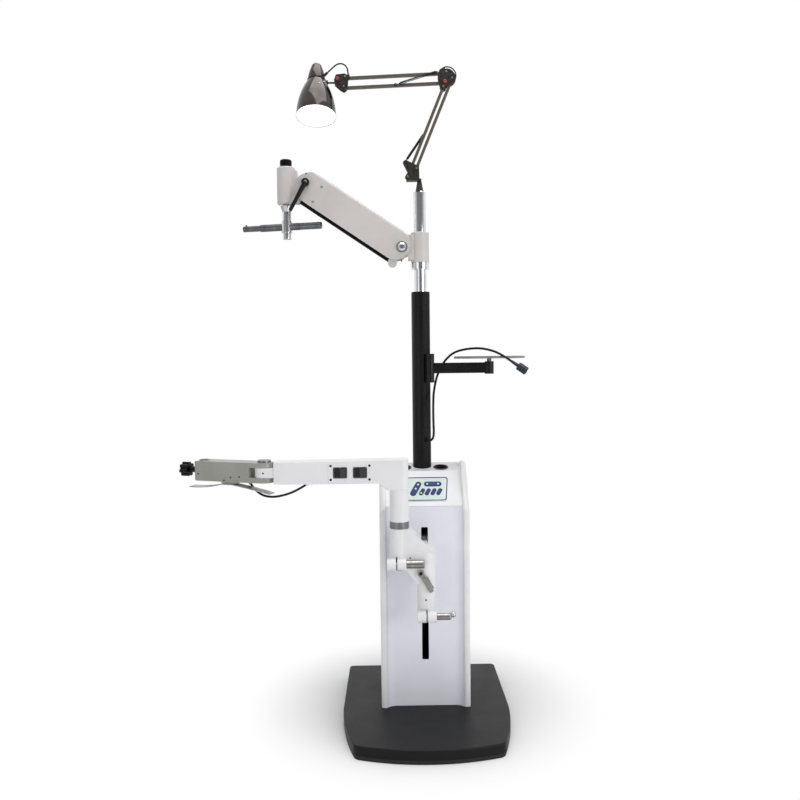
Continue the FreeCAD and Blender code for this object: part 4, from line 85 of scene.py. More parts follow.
def add(tree, kind, inputs=None, **settings):
    """Adds a shader node: settings are its fields, inputs its sockets, each a value or another node's output."""
    one = tree.nodes.new(kind)
    for field, value in settings.items():
        setattr(one, field, value)
    for socket, value in (inputs or {}).items():
        if isinstance(value, bpy.types.NodeSocket):
            tree.links.new(value, one.inputs[socket])
        else:
            one.inputs[socket].default_value = value
    return one


def empty_tree(owner):
    """The node tree of a world or a material, with nothing in it."""
    owner.use_nodes = True
    owner.node_tree.nodes.clear()
    return owner.node_tree


def ramp(tree, value, start, end, low=0.0, high=1.0, **settings):
    """How far a value is from start to end, 0 to 1 and held there, spread from low to high."""
    return add(tree, "ShaderNodeMapRange", {0: value, 1: start, 2: end, 3: low, 4: high}, **settings).outputs[0]


def larger(tree, first, second):
    """The larger of two values."""
    return add(tree, "ShaderNodeMath", {0: first, 1: second}, operation="MAXIMUM").outputs[0]


def mixed(tree, share, first, second):
    """Two shaders in one: (1 - share) of the first and share of the second."""
    return add(tree, "ShaderNodeMixShader", {0: share, 1: first, 2: second}).outputs[0]


def white_sky(tree, strength):
    """White light of a strength from the whole sky."""
    return add(tree, "ShaderNodeBackground", {"Color": linear("#FFFFFF"), "Strength": strength}).outputs[0]


def room_light():
    """White to the camera, and 0.46 as light on the object. In reflections it falls from white ahead to 0.22
    behind the camera, but stays white overhead: the larger of a ramp along y and a ramp along z."""
    world = bpy.data.worlds.new("room")
    tree = empty_tree(world)
    direction = add(tree, "ShaderNodeTexCoord").outputs["Generated"]
    parts = add(tree, "ShaderNodeSeparateXYZ", {0: direction})
    ahead = ramp(tree, parts.outputs["Y"], start=-0.75, end=0.1, low=0.22)
    overhead = ramp(tree, parts.outputs["Z"], start=0.25, end=0.7)
    path = add(tree, "ShaderNodeLightPath").outputs
    reflected = larger(tree, path["Is Glossy Ray"], path["Is Transmission Ray"])
    light = mixed(tree, reflected, white_sky(tree, 0.46), white_sky(tree, larger(tree, ahead, overhead)))
    seen = mixed(tree, path["Is Camera Ray"], light, white_sky(tree, 1.0))
    add(tree, "ShaderNodeOutputWorld", {"Surface": seen})
    bpy.context.scene.world = world


def white_floor():
    """Pale sheet vinyl under the stand. To the camera it turns, from 0.26 to 0.58 m out from the middle, into
    the white of the room."""
    material = bpy.data.materials.new("white_floor")
    tree = empty_tree(material)
    place = add(tree, "ShaderNodeTexCoord").outputs["Object"]
    distance = add(tree, "ShaderNodeVectorMath", {0: place}, operation="LENGTH").outputs["Value"]
    fade = ramp(tree, distance, start=0.26, end=0.58, interpolation_type="SMOOTHSTEP")
    eye = add(tree, "ShaderNodeLightPath").outputs["Is Camera Ray"]
    mask = add(tree, "ShaderNodeMath", {0: fade, 1: eye}, operation="MULTIPLY").outputs[0]
    matt = add(tree, "ShaderNodeBsdfPrincipled", {"Base Color": linear("#F4F4F5"), "Roughness": 0.6}).outputs[0]
    white = add(tree, "ShaderNodeEmission", {"Color": linear("#FFFFFF"), "Strength": 1.0}).outputs[0]
    add(tree, "ShaderNodeOutputMaterial", {"Surface": mixed(tree, mask, matt, white)})
    return material


room_light()
FLOOR_HALF = 12
FLOOR_LOW = -0.001
corners = [(x * FLOOR_HALF, y * FLOOR_HALF, FLOOR_LOW) for x, y in ((-1, -1), (1, -1), (1, 1), (-1, 1))]
floor_mesh = bpy.data.meshes.new("floor")
floor_mesh.from_pydata(corners, [], [(0, 1, 2, 3)])
floor_mesh.materials.append(white_floor())
floor = bpy.data.objects.new("floor", floor_mesh)
bpy.context.scene.collection.objects.link(floor)

# Each lamp's place, the point it faces and its width in metres, then its power in watts
LAMPS = {"overhead": ((0.2, -0.2, 4.2), (0, 0, 0.8), 2.6, 62),
         "front_left": ((-2.4, -3.4, 1.0), (0, 0, 0.4), 2.0, 12),
         "right_side": ((2.5, -2.6, 1.2), (0, 0, 0.4), 1.6, 32)}
for label, (place, aim, width, watts) in LAMPS.items():
    lamp = bpy.data.objects.new(label, bpy.data.lights.new(label, "AREA"))
    lamp.data.size = width
    lamp.data.energy = watts
    aimed = (Vector(aim) - Vector(place)).to_track_quat("-Z", "Y")
    lamp.matrix_world = Matrix.Translation(place) @ aimed.to_matrix().to_4x4()
    bpy.context.scene.collection.objects.link(lamp)


# CORDS
# Three rubber cords: the black device lead that comes out of the mast and ends in its plug, the short cable
# that joins the two arms under their elbow, and the thin flex that loops from the lamp's head into its shade.

Coat = namedtuple("Coat", "material tree shader place")


def new_material(name, inputs=None):
    """A material with its tree, its shader with some inputs set, and the place on the object in metres."""
    material = bpy.data.materials.new(name)
    tree = empty_tree(material)
    shader = add(tree, "ShaderNodeBsdfPrincipled", inputs)
    add(tree, "ShaderNodeOutputMaterial", {"Surface": shader.outputs[0]})
    return Coat(material, tree, shader, add(tree, "ShaderNodeTexCoord").outputs["Object"])


# The sockets of a mix node that carry colours
MIX_FIRST, MIX_SECOND, MIX_RESULT = 6, 7, 2


def vary(coat, light, dark, size, smooth, rough):
    """Colour drifts from light to dark, and roughness from smooth to rough, over patches of a size in
    millimetres: soft noise, of which the middle third is spread over the whole way."""
    tree, inputs = coat.tree, coat.shader.inputs
    noise = add(tree, "ShaderNodeTexNoise", {"Vector": coat.place, "Scale": 1 / (size * MM), "Detail": 4.0})
    patches = noise.outputs[0]
    share = ramp(tree, patches, start=0.35, end=0.65)
    colour = add(tree, "ShaderNodeMix", {0: share, MIX_FIRST: linear(light), MIX_SECOND: linear(dark)},
                 data_type="RGBA")
    tree.links.new(colour.outputs[MIX_RESULT], inputs["Base Color"])
    tree.links.new(ramp(tree, patches, start=0.3, end=0.7, low=smooth, high=rough), inputs["Roughness"])


def bump(coat, height, depth, strength):
    """A relief on a finish, from a height between 0 and 1 and a depth in millimetres."""
    relief = add(coat.tree, "ShaderNodeBump", {"Height": height, "Distance": depth * MM, "Strength": strength})
    coat.tree.links.new(relief.outputs[0], coat.shader.inputs["Normal"])


def grain(coat, size, depth, strength=0.6, stretch=(1, 1, 1)):
    """A fine relief: noise of a grain size and a depth in millimetres. A stretch under 1 draws the grains out
    along that axis, to 1 / stretch of their size."""
    moved = add(coat.tree, "ShaderNodeMapping", {"Vector": coat.place, "Scale": stretch}).outputs[0]
    fine = add(coat.tree, "ShaderNodeTexNoise", {"Vector": moved, "Scale": 1 / (size * MM), "Detail": 2.0})
    bump(coat, fine.outputs[0], depth, strength)


def neoprene_rubber():
    """Extruded cord sheath: a dull black with a soft sheen and a skin like fine leather, 0.8 mm to a grain."""
    coat = new_material("neoprene_rubber", {"Specular IOR Level": 0.3})
    vary(coat, "#0D0D0F", "#141416", size=14, smooth=0.45, rough=0.6)
    grain(coat, size=0.8, depth=0.05)
    return coat.material


LINE_STEPS, ROUND_STEPS = 10, 5


def route_line(name, route, radius):
    """A smooth tube, and the line in its middle: a spline of the third order with the route's points as its
    controls."""
    curve = bpy.data.curves.new(name, "CURVE")
    curve.dimensions = "3D"
    curve.resolution_u = LINE_STEPS
    spline = curve.splines.new("NURBS")
    spline.points.add(len(route) - 1)
    for control, place in zip(spline.points, route):
        control.co = (place[0] * MM, place[1] * MM, place[2] * MM, 1)
    spline.order_u = 3
    spline.use_endpoint_u = True
    line = bpy.data.objects.new(name + "_line", curve)
    bpy.context.scene.collection.objects.link(line)
    bpy.context.view_layer.update()
    path = [tuple(v.co) for v in bpy.data.meshes.new_from_object(line).vertices]
    curve.bevel_depth = radius * MM
    curve.bevel_resolution = ROUND_STEPS
    curve.use_fill_caps = True
    bpy.context.view_layer.update()
    mesh = bpy.data.meshes.new_from_object(line)
    bpy.data.objects.remove(line)
    mesh.name = name
    tube = bpy.data.objects.new(name, mesh)
    bpy.context.scene.collection.objects.link(tube)
    return tube, path


def cord(name, node, route, radius, length, material, bodies, bend, **facts):
    """A rubber tube along a route, shown in place of a node's own cord."""
    tube, path = route_line(name, route, radius)
    tube.data.materials.clear()
    tube.data.materials.append(material)
    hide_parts(node)
    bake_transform(tube)


RUBBER = neoprene_rubber()
LEAD_ROUTE = [(18.96, -22.60, 827), (25.71, -30.64, 827), (30.6, -38.7, 831), (33.4, -46.1, 838.6),
              (34.5, -52.3, 849), (34.4, -56, 863), (33.6, -55.8, 882), (33.8, -47, 909), (34.8, -31.5, 939),
              (36.6, -17, 970), (43, -7, 1003), (50, -4, 1028), (61, -5, 1053), (77, -14, 1077), (101, -30, 1098),
              (138, -56, 1107), (175, -84, 1108.5), (208, -116, 1100), (232, -144, 1087), (258, -155, 1068)]
ARM_CABLE_ROUTE = [(-340.4, -208, 723), (-366, -208, 707), (-400, -207, 694), (-437, -203, 687),
                   (-468, -197, 692), (-490, -192, 709), (-500, -190, 724)]
FLEX_ROUTE = [(-213.05, -5.5, 1938.07), (-213.05, -5.5, 1956.07), (-225, -3, 1972), (-244, -1.5, 1974),
              (-262, 0, 1960), (-276, 0, 1947)]
cord("device_lead_cord", "device_lead", LEAD_ROUTE, radius=3.5, length=538, material=RUBBER,
     bodies=("stand", "tray_link"), bend=((27, -32, 840), (27, -32, 1000)), far_end="connector",
     stiffness="medium", lay="loose", with_pieces=["lead_connector"])
cord("arm_cable_cord", "arm_cable", ARM_CABLE_ROUTE, radius=3.3, length=182, material=RUBBER,
     bodies=("first_arm", "outer_arm"), bend=((-366, -208, 708), (-490, -192, 709)), far_end="object",
     stiffness="medium", lay="hanging")
cord("lamp_flex_cord", "lamp_cord", FLEX_ROUTE, radius=2.2, length=97, material=RUBBER,
     bodies=("lamp_end", "shade"), bend=((-222, -5, 1968), (-272, 0, 1951)), far_end="object",
     stiffness="medium", lay="loose")


def mesh_object(name, vertices, faces, material, smooth=35):
    """One object from arrays in millimetres, its faces turned outwards and its sharp edges kept sharp."""
    mesh = bpy.data.meshes.new(name)
    mesh.from_pydata((np.asarray(vertices) * MM).tolist(), [], faces)
    work = bmesh.new()
    work.from_mesh(mesh)
    bmesh.ops.recalc_face_normals(work, faces=work.faces)
    work.to_mesh(mesh)
    work.free()
    mesh.polygons.foreach_set("use_smooth", [True] * len(mesh.polygons))
    mesh.set_sharp_from_angle(angle=math.radians(smooth))
    mesh.materials.append(material)
    made = bpy.data.objects.new(name, mesh)
    bpy.context.scene.collection.objects.link(made)
    return made


def grid(rows, ring=False):
    """Faces over rows of points that each close on themselves: quads between rows, and a lid at both ends
    unless the rows close in a ring as well."""
    count, around = rows.shape[:2]
    i = np.arange(count if ring else count - 1)[:, None]
    j = np.arange(around)[None, :]
    here, there = (j + 0 * i), ((j + 1) % around + 0 * i)
    low, high = i * around, ((i + 1) % count) * around
    quads = np.stack([low + here, low + there, high + there, high + here], -1).reshape(-1, 4).tolist()
    if not ring:
        quads += [list(range(around))[::-1], list(range((count - 1) * around, count * around))]
    return rows.reshape(-1, 3), quads


def joined(*parts):
    """Several shapes as one: points stacked, face numbers moved on by the points before them."""
    points, faces, start = [], [], 0
    for vertices, some in parts:
        points.append(vertices)
        faces += [[n + start for n in face] for face in some]
        start += len(vertices)
    return np.concatenate(points), faces


def basis(axis):
    """Two directions square to an axis, and the axis itself, as the rows of a 3 x 3 array."""
    w = np.array(axis, float) / np.linalg.norm(axis)
    u = np.cross([0, 0, 1] if abs(w[2]) < 0.9 else [0, 1, 0], w)
    u /= np.linalg.norm(u)
    return np.array([u, np.cross(w, u), w])


def lathe(profile, centre, axis, sides=48, ring=False):
    """A turned shape: each (radius, height) of the profile swept round the axis. A row's radius may be a
    function of the angle instead, for a hexagon socket or a cross recess."""
    angle = np.linspace(0, 2 * math.pi, sides, endpoint=False)
    rows = []
    for radius, height in profile:
        reach = radius(angle) if callable(radius) else np.full(sides, float(radius))
        rows.append(np.stack([reach * np.cos(angle), reach * np.sin(angle), np.full(sides, float(height))], -1))
    return grid(np.array(centre, float) + np.array(rows) @ basis(axis), ring)


def attach(made, body):
    """Fixes a piece to the body it moves with."""
    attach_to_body(made, body)


def soft_boot(name, body, start, direction, small, big, length):
    """A tapered sleeve with a flange where a cord leaves a wall: its radius falls evenly from big to small, and
    the cosine of five whole turns over its length adds the ribs."""
    flange, rib, ribs = 1.5, 0.35, 5
    profile = [(big + flange, -1), (big + flange, 1)]
    for t in np.linspace(0, 1, 25):
        profile.append((big + (small - big) * t + rib * math.cos(2 * math.pi * ribs * t), 1 + t * (length - 1)))
    vertices, faces = lathe(profile, start, direction, 32)
    attach(mesh_object(name, vertices, faces, RUBBER), body)


# The way out of the flat on the mast, 50 degrees from the right towards the front
OUT = (0.6428, -0.7660, 0.0)
soft_boot("lead_boot", "stand", (18.3, -21.8, 827), OUT, small=3.7, big=6.0, length=11)

# BASE
# A thick steel plate with a black cover over it, moulded in textured plastic with a rounded edge all round.

def dress(material, *nodes):
    """Gives a finish to nodes that keep their own shape."""
    for name in nodes:
        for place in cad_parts[name].material_slots:
            place.material = material


def textured_abs():
    """Vacuum-formed ABS, dyed black: a pebbled skin of about 1.5 mm, in faintly varying patches."""
    coat = new_material("textured_abs", {"Specular IOR Level": 0.22})
    vary(coat, "#0F0F11", "#131315", size=60, smooth=0.4, rough=0.48)
    grain(coat, size=1.5, depth=0.16, strength=0.7)
    return coat.material


def mill_scale_steel():
    """Hot rolled plate under thin black paint: dark, half metallic, mottled by its scale."""
    coat = new_material("mill_scale_steel", {"Metallic": 0.6})
    vary(coat, "#2A2928", "#3A3836", size=9, smooth=0.4, rough=0.65)
    grain(coat, size=2.0, depth=0.1)
    return coat.material


dress(textured_abs(), "base_cover")
dress(mill_scale_steel(), "base_plate")


# CABINET
# Bent steel sheet and two solid side panels, all powder-coated white, with a sheet at the back held by screws
# and a mains inlet low down in it.

def powder_coat():
    """Polyester powder coat, white: an orange peel of about 2 mm that only shows in reflections."""
    coat = new_material("powder_coat", {"IOR": 1.5, "Coat Weight": 0.15})
    vary(coat, "#F3F3F5", "#EDEDF0", size=90, smooth=0.3, rough=0.4)
    grain(coat, size=2.0, depth=0.03, strength=0.5)
    return coat.material


def cool_white_painted_shade():
    """The same coating on the tall front panel, its white made a little cooler and bluer by painted shade."""
    coat = new_material("cool_white_painted_shade", {"IOR": 1.5})
    vary(coat, "#F3F4FC", "#EEEFF8", size=90, smooth=0.3, rough=0.42)
    grain(coat, size=2.0, depth=0.03, strength=0.5)
    return coat.material


def zinc_plate():
    """Bright zinc on small screws: a bluish silver, finely pitted."""
    coat = new_material("zinc_plate", {"Metallic": 1.0})
    vary(coat, "#C9CDD2", "#AEB3BA", size=3, smooth=0.22, rough=0.4)
    grain(coat, size=0.4, depth=0.02)
    return coat.material


def black_oxide():
    """Blackened steel screws: nearly black with a low metal sheen."""
    coat = new_material("black_oxide", {"Metallic": 0.7})
    vary(coat, "#1B1B1D", "#2B2B2E", size=3, smooth=0.3, rough=0.5)
    grain(coat, size=0.4, depth=0.02)
    return coat.material


WHITE = powder_coat()
ZINC = zinc_plate()
BLACK_SCREW = black_oxide()
dress(WHITE, "pillar_left", "pillar_right", "console_cover", "rear_cover")
# The front panel's cooler tint is painted shade.
dress(cool_white_painted_shade(), "front_panel")


def cross_recess(arm, width):
    """Reach of a plus sign: along each arm to its end, and out to its side where that comes first."""
    def reach(angle):
        """The reach at an angle."""
        c, s = np.abs(np.cos(angle)) + 1e-9, np.abs(np.sin(angle)) + 1e-9
        return np.maximum(np.minimum(arm / c, width / s), np.minimum(arm / s, width / c))
    return reach


def hexagon(flat):
    """Reach of a hexagon whose flats are that far from its middle: flat / cos(angle from the nearest flat)."""
    return lambda angle: flat / np.cos((angle + math.pi / 6) % (math.pi / 3) - math.pi / 6)


def screws(name, places, radius, rise, material, body, socket="cross"):
    """Screw heads at (centre, axis) places: a low dome on a rim of 0.45 of its rise, with a recess down to 0.35
    of the rise."""
    shape = cross_recess(0.62 * radius, 0.17 * radius) if socket == "cross" else hexagon(0.48 * radius)
    profile = [(radius, -0.3), (radius, 0.45 * rise), (0.86 * radius, 0.85 * rise), (0.7 * radius, rise),
               (shape, rise), (shape, 0.35 * rise)]
    heads = [lathe(profile, centre, axis, 32) for centre, axis in places]
    attach(mesh_object(name, *joined(*heads), material), body)


BACK = 105
BACKWARD = (0, 1, 0)
rear_places = [((x, BACK, z), BACKWARD) for x in (-101, 101) for z in (60, 275, 490, 705)]
screws("rear_screws", rear_places, 4.5, 2.2, ZINC, "stand")


def moulded_nylon():
    """Glass-filled nylon, black: a dry satin skin of fine sparks, about 0.6 mm."""
    coat = new_material("moulded_nylon", {"IOR": 1.53})
    vary(coat, "#161618", "#1F1F22", size=20, smooth=0.4, rough=0.55)
    grain(coat, size=0.6, depth=0.05)
    return coat.material


NYLON = moulded_nylon()
dress(NYLON, "mains_inlet")
PIN_PROFILE = [(1.6, -11), (1.6, 0), (1.2, 1.2), (0.4, 1.6)]
PIN_SHOULDER = BACK - 2.5
pins = [lathe(PIN_PROFILE, (x, PIN_SHOULDER, z), BACKWARD, 16) for x, z in ((-7, 108), (0, 112), (7, 108))]
attach(mesh_object("inlet_pins", *joined(*pins), ZINC), "stand")


# KEYPAD
# A polyester film on a thin plate: white, with a pale green field inside a navy frame, and six domed keys
# printed navy. Two keys carry white dots and the first small one a green light.

# The sloped face starts at SLOPE_FOOT; the pad starts 0.134 of the way up it and takes 0.672 of its length
SLOPE = math.radians(47.2395)
SLOPE_LENGTH = 126.669
SLOPE_FOOT = np.array([0, -135, 642.6])
PAD_AXES = np.array([[1, 0, 0], [0, math.cos(SLOPE), math.sin(SLOPE)], [0, -math.sin(SLOPE), math.cos(SLOPE)]])
PAD_FOOT = SLOPE_FOOT + 0.134 * SLOPE_LENGTH * PAD_AXES[1]
PAD_HEIGHT = 0.672 * SLOPE_LENGTH
PAD_TOP = 2.4
PAD_HALF = 76
PAD_LOW_RIGHT = 68
PRINT_LOW = PAD_TOP - 0.2


def on_pad(flat):
    """Points drawn on the keypad (right, up the slope, out of it) put in their place on the stand."""
    return PAD_FOOT + np.asarray(flat, float) @ PAD_AXES


def rounded(corners, radius, steps=8):
    """A closed outline with round corners: at each corner an arc of that radius touches both sides."""
    corners = np.array(corners, float)
    before, after = np.roll(corners, 1, 0) - corners, np.roll(corners, -1, 0) - corners
    before /= np.linalg.norm(before, axis=1)[:, None]
    after /= np.linalg.norm(after, axis=1)[:, None]
    half = np.arccos(np.clip((before * after).sum(1), -1, 1)) / 2
    between = (before + after) / np.linalg.norm(before + after, axis=1)[:, None]
    middle = corners + between * (radius / np.sin(half))[:, None]
    start = corners + before * (radius / np.tan(half))[:, None] - middle
    end = corners + after * (radius / np.tan(half))[:, None] - middle
    share = np.linspace(0, 1, steps)[None, :, None]
    arc = start[:, None] * (1 - share) + end[:, None] * share
    arc *= radius / np.linalg.norm(arc, axis=2)[:, :, None]
    return (middle[:, None] + arc).reshape(-1, 2)


def pad_outline(inset, radius):
    """The plate's outline drawn smaller by an inset all round; its right side leans out towards the top, so its
    corners move in by 1.09 and 0.91 of the inset."""
    return rounded([(PAD_HALF - inset * 1.09, PAD_HEIGHT - inset), (-PAD_HALF + inset, PAD_HEIGHT - inset),
                    (-PAD_HALF + inset, inset), (PAD_LOW_RIGHT - inset * 0.91, inset)], radius)


def raised(outline, height):
    """A flat outline at one height over the slope."""
    return np.concatenate([outline, np.full((len(outline), 1), float(height))], 1)


def polyester_film(name, colour, dark):
    """Screen-printed polyester film: even colour under a satin hard coat."""
    coat = new_material(name, {"Specular IOR Level": 0.3})
    vary(coat, colour, dark, size=25, smooth=0.35, rough=0.45)
    grain(coat, size=0.5, depth=0.01)
    return coat.material


dress(polyester_film("white_film", "#F2F4F8", "#ECEEF4"), "keypad_plate")
NAVY_FILM = polyester_film("navy_film", "#1B2F7C", "#16286A")
outer, inner = pad_outline(0.8, 8.4), pad_outline(4.0, 6.0)
BORDER_TOP, FIELD_TOP = PAD_TOP + 0.18, PAD_TOP + 0.15
border = grid(on_pad([raised(outer, PRINT_LOW), raised(outer, BORDER_TOP), raised(inner, BORDER_TOP),
                      raised(inner, PRINT_LOW)]), ring=True)
attach(mesh_object("keypad_border", *border, NAVY_FILM), "stand")
FIELD_EDGE = 5.5
field_line = rounded([(66, PAD_HEIGHT - FIELD_EDGE), (-70, PAD_HEIGHT - FIELD_EDGE), (-70, FIELD_EDGE),
                      (59, FIELD_EDGE)], 4)
field = grid(on_pad([raised(field_line, PRINT_LOW), raised(field_line, FIELD_TOP)]))
GREEN_FILM = polyester_film("green_film", "#E0F3E9", "#D8EEE3")
attach(mesh_object("keypad_field", *field, GREEN_FILM), "stand")


def domed_key_film():
    """Embossed key caps: navy ink under gloss film, with random patches of a lighter blue as painted highlight.
    """
    coat = new_material("domed_key_film", {"Specular IOR Level": 0.3})
    vary(coat, "#1C2E96", "#0E1650", size=9, smooth=0.22, rough=0.34)
    return coat.material


# The lighter blue patches on the key caps are painted highlight.
KEY_FILM = domed_key_film()
KEY_TOP = PAD_TOP + 0.7
DOUBLE_X, WIDE_X, SMALL_X, SMALL_STEP = -23.5, 28, -5, 17.2
DOUBLE_SHARE, WIDE_SHARE, SMALL_SHARE = 0.5, 0.696, 0.37
DOUBLE_TURN = 63
# Each key's place across the pad, its share of the way up, its length, width and turn, and its body
KEYS = {"key_double": (DOUBLE_X, DOUBLE_SHARE, 55, 18, DOUBLE_TURN, "key_1"),
        "key_wide": (WIDE_X, WIDE_SHARE, 53, 17, 0, "key_2")}
for n in range(4):
    KEYS["key_small_%d" % (n + 1)] = (SMALL_X + n * SMALL_STEP, SMALL_SHARE, 26, 12, 62, "key_%d" % (n + 3))
dress(polyester_film("key_edge_film", "#141B48", "#0F1538"), *KEYS)


def key_cap(name, x, share, length, width, turn, body):
    """A soft pillow on a key: rings of the key's own outline, drawn in with the square of t while they rise by
    the sine of t quarter turns."""
    points, margin, pillow = 56, 1.2, 0.9
    half = (length - width) / 2
    angle = np.linspace(-math.pi / 2, 3 * math.pi / 2, points, endpoint=False)
    shift = np.where(np.cos(angle) > 0, half, -half)
    c, s = math.cos(math.radians(turn)), math.sin(math.radians(turn))
    rows = []
    for t in np.linspace(0.25, 0.92, 9):
        r = (width / 2 - margin) * (1 - 0.95 * t * t)
        flat = np.stack([shift * (1 - 0.12 * t * t) + r * np.cos(angle), r * np.sin(angle)], -1)
        rows.append(np.stack([x + c * flat[:, 0] - s * flat[:, 1],
                              share * PAD_HEIGHT + s * flat[:, 0] + c * flat[:, 1],
                              np.full(points, KEY_TOP - 0.1 + pillow * math.sin(t * math.pi / 2))], -1))
    attach(mesh_object(name, *grid(on_pad(rows)), KEY_FILM, 60), body)


for node, facts in KEYS.items():
    key_cap(node + "_cap", *facts)


def screen_ink():
    """White screen ink, flat and slightly chalky."""
    coat = new_material("screen_ink")
    vary(coat, "#F4F6FA", "#E6EAF2", size=2, smooth=0.4, rough=0.5)
    return coat.material


def lit_diode():
    """A small green light behind a clear cap."""
    coat = new_material("lit_diode", {"Emission Color": linear("#9BE23C"), "Emission Strength": 0.7})
    vary(coat, "#8FD04A", "#6FB53A", size=2, smooth=0.15, rough=0.25)
    return coat.material


def dots(name, places, radius, rise, material, body):
    """Small round marks on the keypad, slightly crowned."""
    profile = [(radius, -0.6), (radius, 0.4 * rise), (0.8 * radius, 0.85 * rise), (0.3 * radius, rise)]
    some = [lathe(profile, on_pad([x, y, KEY_TOP + 0.75]), PAD_AXES[2], 24) for x, y in places]
    attach(mesh_object(name, *joined(*some), material), body)


INK = screen_ink()
DOT_REACH = 16.5
DOUBLE_WAY = (math.cos(math.radians(DOUBLE_TURN)), math.sin(math.radians(DOUBLE_TURN)))
double_dots = [(DOUBLE_X + DOUBLE_WAY[0] * d, DOUBLE_SHARE * PAD_HEIGHT + DOUBLE_WAY[1] * d)
               for d in (DOT_REACH, 0)]
dots("double_key_dots", double_dots, 3.0, 0.25, INK, "key_1")
dots("wide_key_dots", [(WIDE_X + d, WIDE_SHARE * PAD_HEIGHT) for d in (-DOT_REACH, DOT_REACH)], 2.7, 0.25, INK,
     "key_2")
dots("power_light", [(SMALL_X - 2.6, SMALL_SHARE * PAD_HEIGHT - 4.9)], 2.7, 0.5, lit_diode(), "key_3")


# WELLS
# Two deep drawn steel cups in the deck for hand instruments, painted black inside and lined with felt.

def wool_felt():
    """Pressed wool felt, black: matted fibres of about a millimetre with a soft sheen."""
    coat = new_material("wool_felt", {"Sheen Weight": 0.25})
    vary(coat, "#0D0D0F", "#17171A", size=5, smooth=0.85, rough=0.95)
    grain(coat, size=0.9, depth=0.3, strength=1.0)
    return coat.material


dress(NYLON, "well_liners")
# The deck falls by 16 mm over 79 mm from its ridge, which is 751 mm high at y = 30
RIDGE_Y, RIDGE_Z, DECK_FALL = 30, 751, 16 / 79
DECK = math.radians(11.449)
DECK_OUT = (0, -math.sin(DECK), math.cos(DECK))
WELL_X, WELL_Y = 57, -18
WELL_Z = RIDGE_Z - DECK_FALL * (RIDGE_Y - WELL_Y)
FELT_OUTSIDE, FELT_INSIDE, FELT_HIGH, FELT_LOW, FELT_FLOOR = 18.9, 18.2, -3, -55.4, -54.6
felt_wall = [(FELT_OUTSIDE, FELT_LOW), (FELT_OUTSIDE, FELT_HIGH), (FELT_INSIDE, FELT_HIGH),
             (FELT_INSIDE, FELT_FLOOR), (0.4, FELT_FLOOR), (0.4, FELT_LOW)]
linings = [lathe(felt_wall, (x, WELL_Y, WELL_Z), DECK_OUT, 40) for x in (-WELL_X, WELL_X)]
attach(mesh_object("well_felt", *joined(*linings), wool_felt()), "stand")


# GUIDE FRAME AND CARRIAGE
# A welded frame with two ground rods inside the cabinet; the carriage slides on them, and its neck comes out
# through the slot in the front panel.

def ground_steel():
    """Ground and oiled steel bar: bright, with fine rings about 0.8 mm apart round it."""
    coat = new_material("ground_steel", {"Metallic": 1.0})
    vary(coat, "#A9ABAE", "#8F9296", size=30, smooth=0.25, rough=0.4)
    grain(coat, size=0.8, depth=0.02, strength=0.5, stretch=(0.1, 0.1, 1))
    return coat.material


dress(ground_steel(), "guide_frame")
dress(WHITE, "carriage")

# MAST AND TRAY
# A thick-walled tube, black anodised, with one flat side drawn for the tray's hinge; small screws and the lead's
# grommet sit on the flat. The tray is a painted steel disc with a low rim on a swinging arm.

def black_anodising():
    """Drawn aluminium tube, black anodised: satin, with faint lines along its length about 0.5 mm apart."""
    coat = new_material("black_anodising", {"Metallic": 0.1, "Specular IOR Level": 0.28})
    vary(coat, "#0A0A0C", "#0F0F12", size=70, smooth=0.34, rough=0.42)
    grain(coat, size=0.5, depth=0.015, strength=0.4, stretch=(1, 1, 0.02))
    return coat.material


def cast_black_enamel():
    """Cast parts under black enamel: a soft gloss over a slightly uneven skin of 3 mm."""
    coat = new_material("cast_black_enamel", {"Specular IOR Level": 0.3})
    vary(coat, "#0C0C0E", "#111114", size=25, smooth=0.3, rough=0.4)
    grain(coat, size=3.0, depth=0.06, strength=0.5)
    return coat.material


def grey_enamel():
    """Steel disc in mid grey stove enamel, with fine scuffs of 1.5 mm."""
    coat = new_material("grey_enamel")
    vary(coat, "#8E9196", "#7C7F84", size=12, smooth=0.28, rough=0.42)
    grain(coat, size=1.5, depth=0.03, strength=0.4)
    return coat.material


TRAY_CENTRE = (207.0, -32.17, 0)


def ribbed_rubber():
    """Moulded rubber mat: dull dark grey with rings 3.1 mm apart round the tray's pin. A wave node turns by 20
    radians times its scale in each metre."""
    ring_step, ring_depth = 3.1166, 0.3
    coat = new_material("ribbed_rubber")
    vary(coat, "#2C2D30", "#36373B", size=16, smooth=0.6, rough=0.75)
    to_pin = tuple(-c * MM for c in TRAY_CENTRE)
    centred = add(coat.tree, "ShaderNodeMapping", {"Vector": coat.place, "Location": to_pin}).outputs[0]
    scale = 2 * math.pi / 20 / (ring_step * MM)
    rings = add(coat.tree, "ShaderNodeTexWave", {"Vector": centred, "Scale": scale}, wave_type="RINGS",
                rings_direction="Z")
    bump(coat, rings.outputs[1], ring_depth, strength=0.8)
    return coat.material


ENAMEL = cast_black_enamel()
dress(black_anodising(), "mast_tube")
dress(ENAMEL, "tray_bracket", "tray_arm")
dress(grey_enamel(), "tray_plate")
UP = (0, 0, 1)
FLAT_REACH, HINGE_REACH = 25.5, 30.6


def beside_mast(reach, heights):
    """Places in a row up the mast, so far out from its axis on the side of its flat, each facing outwards."""
    return [((reach * OUT[0], reach * OUT[1], z), OUT) for z in heights]


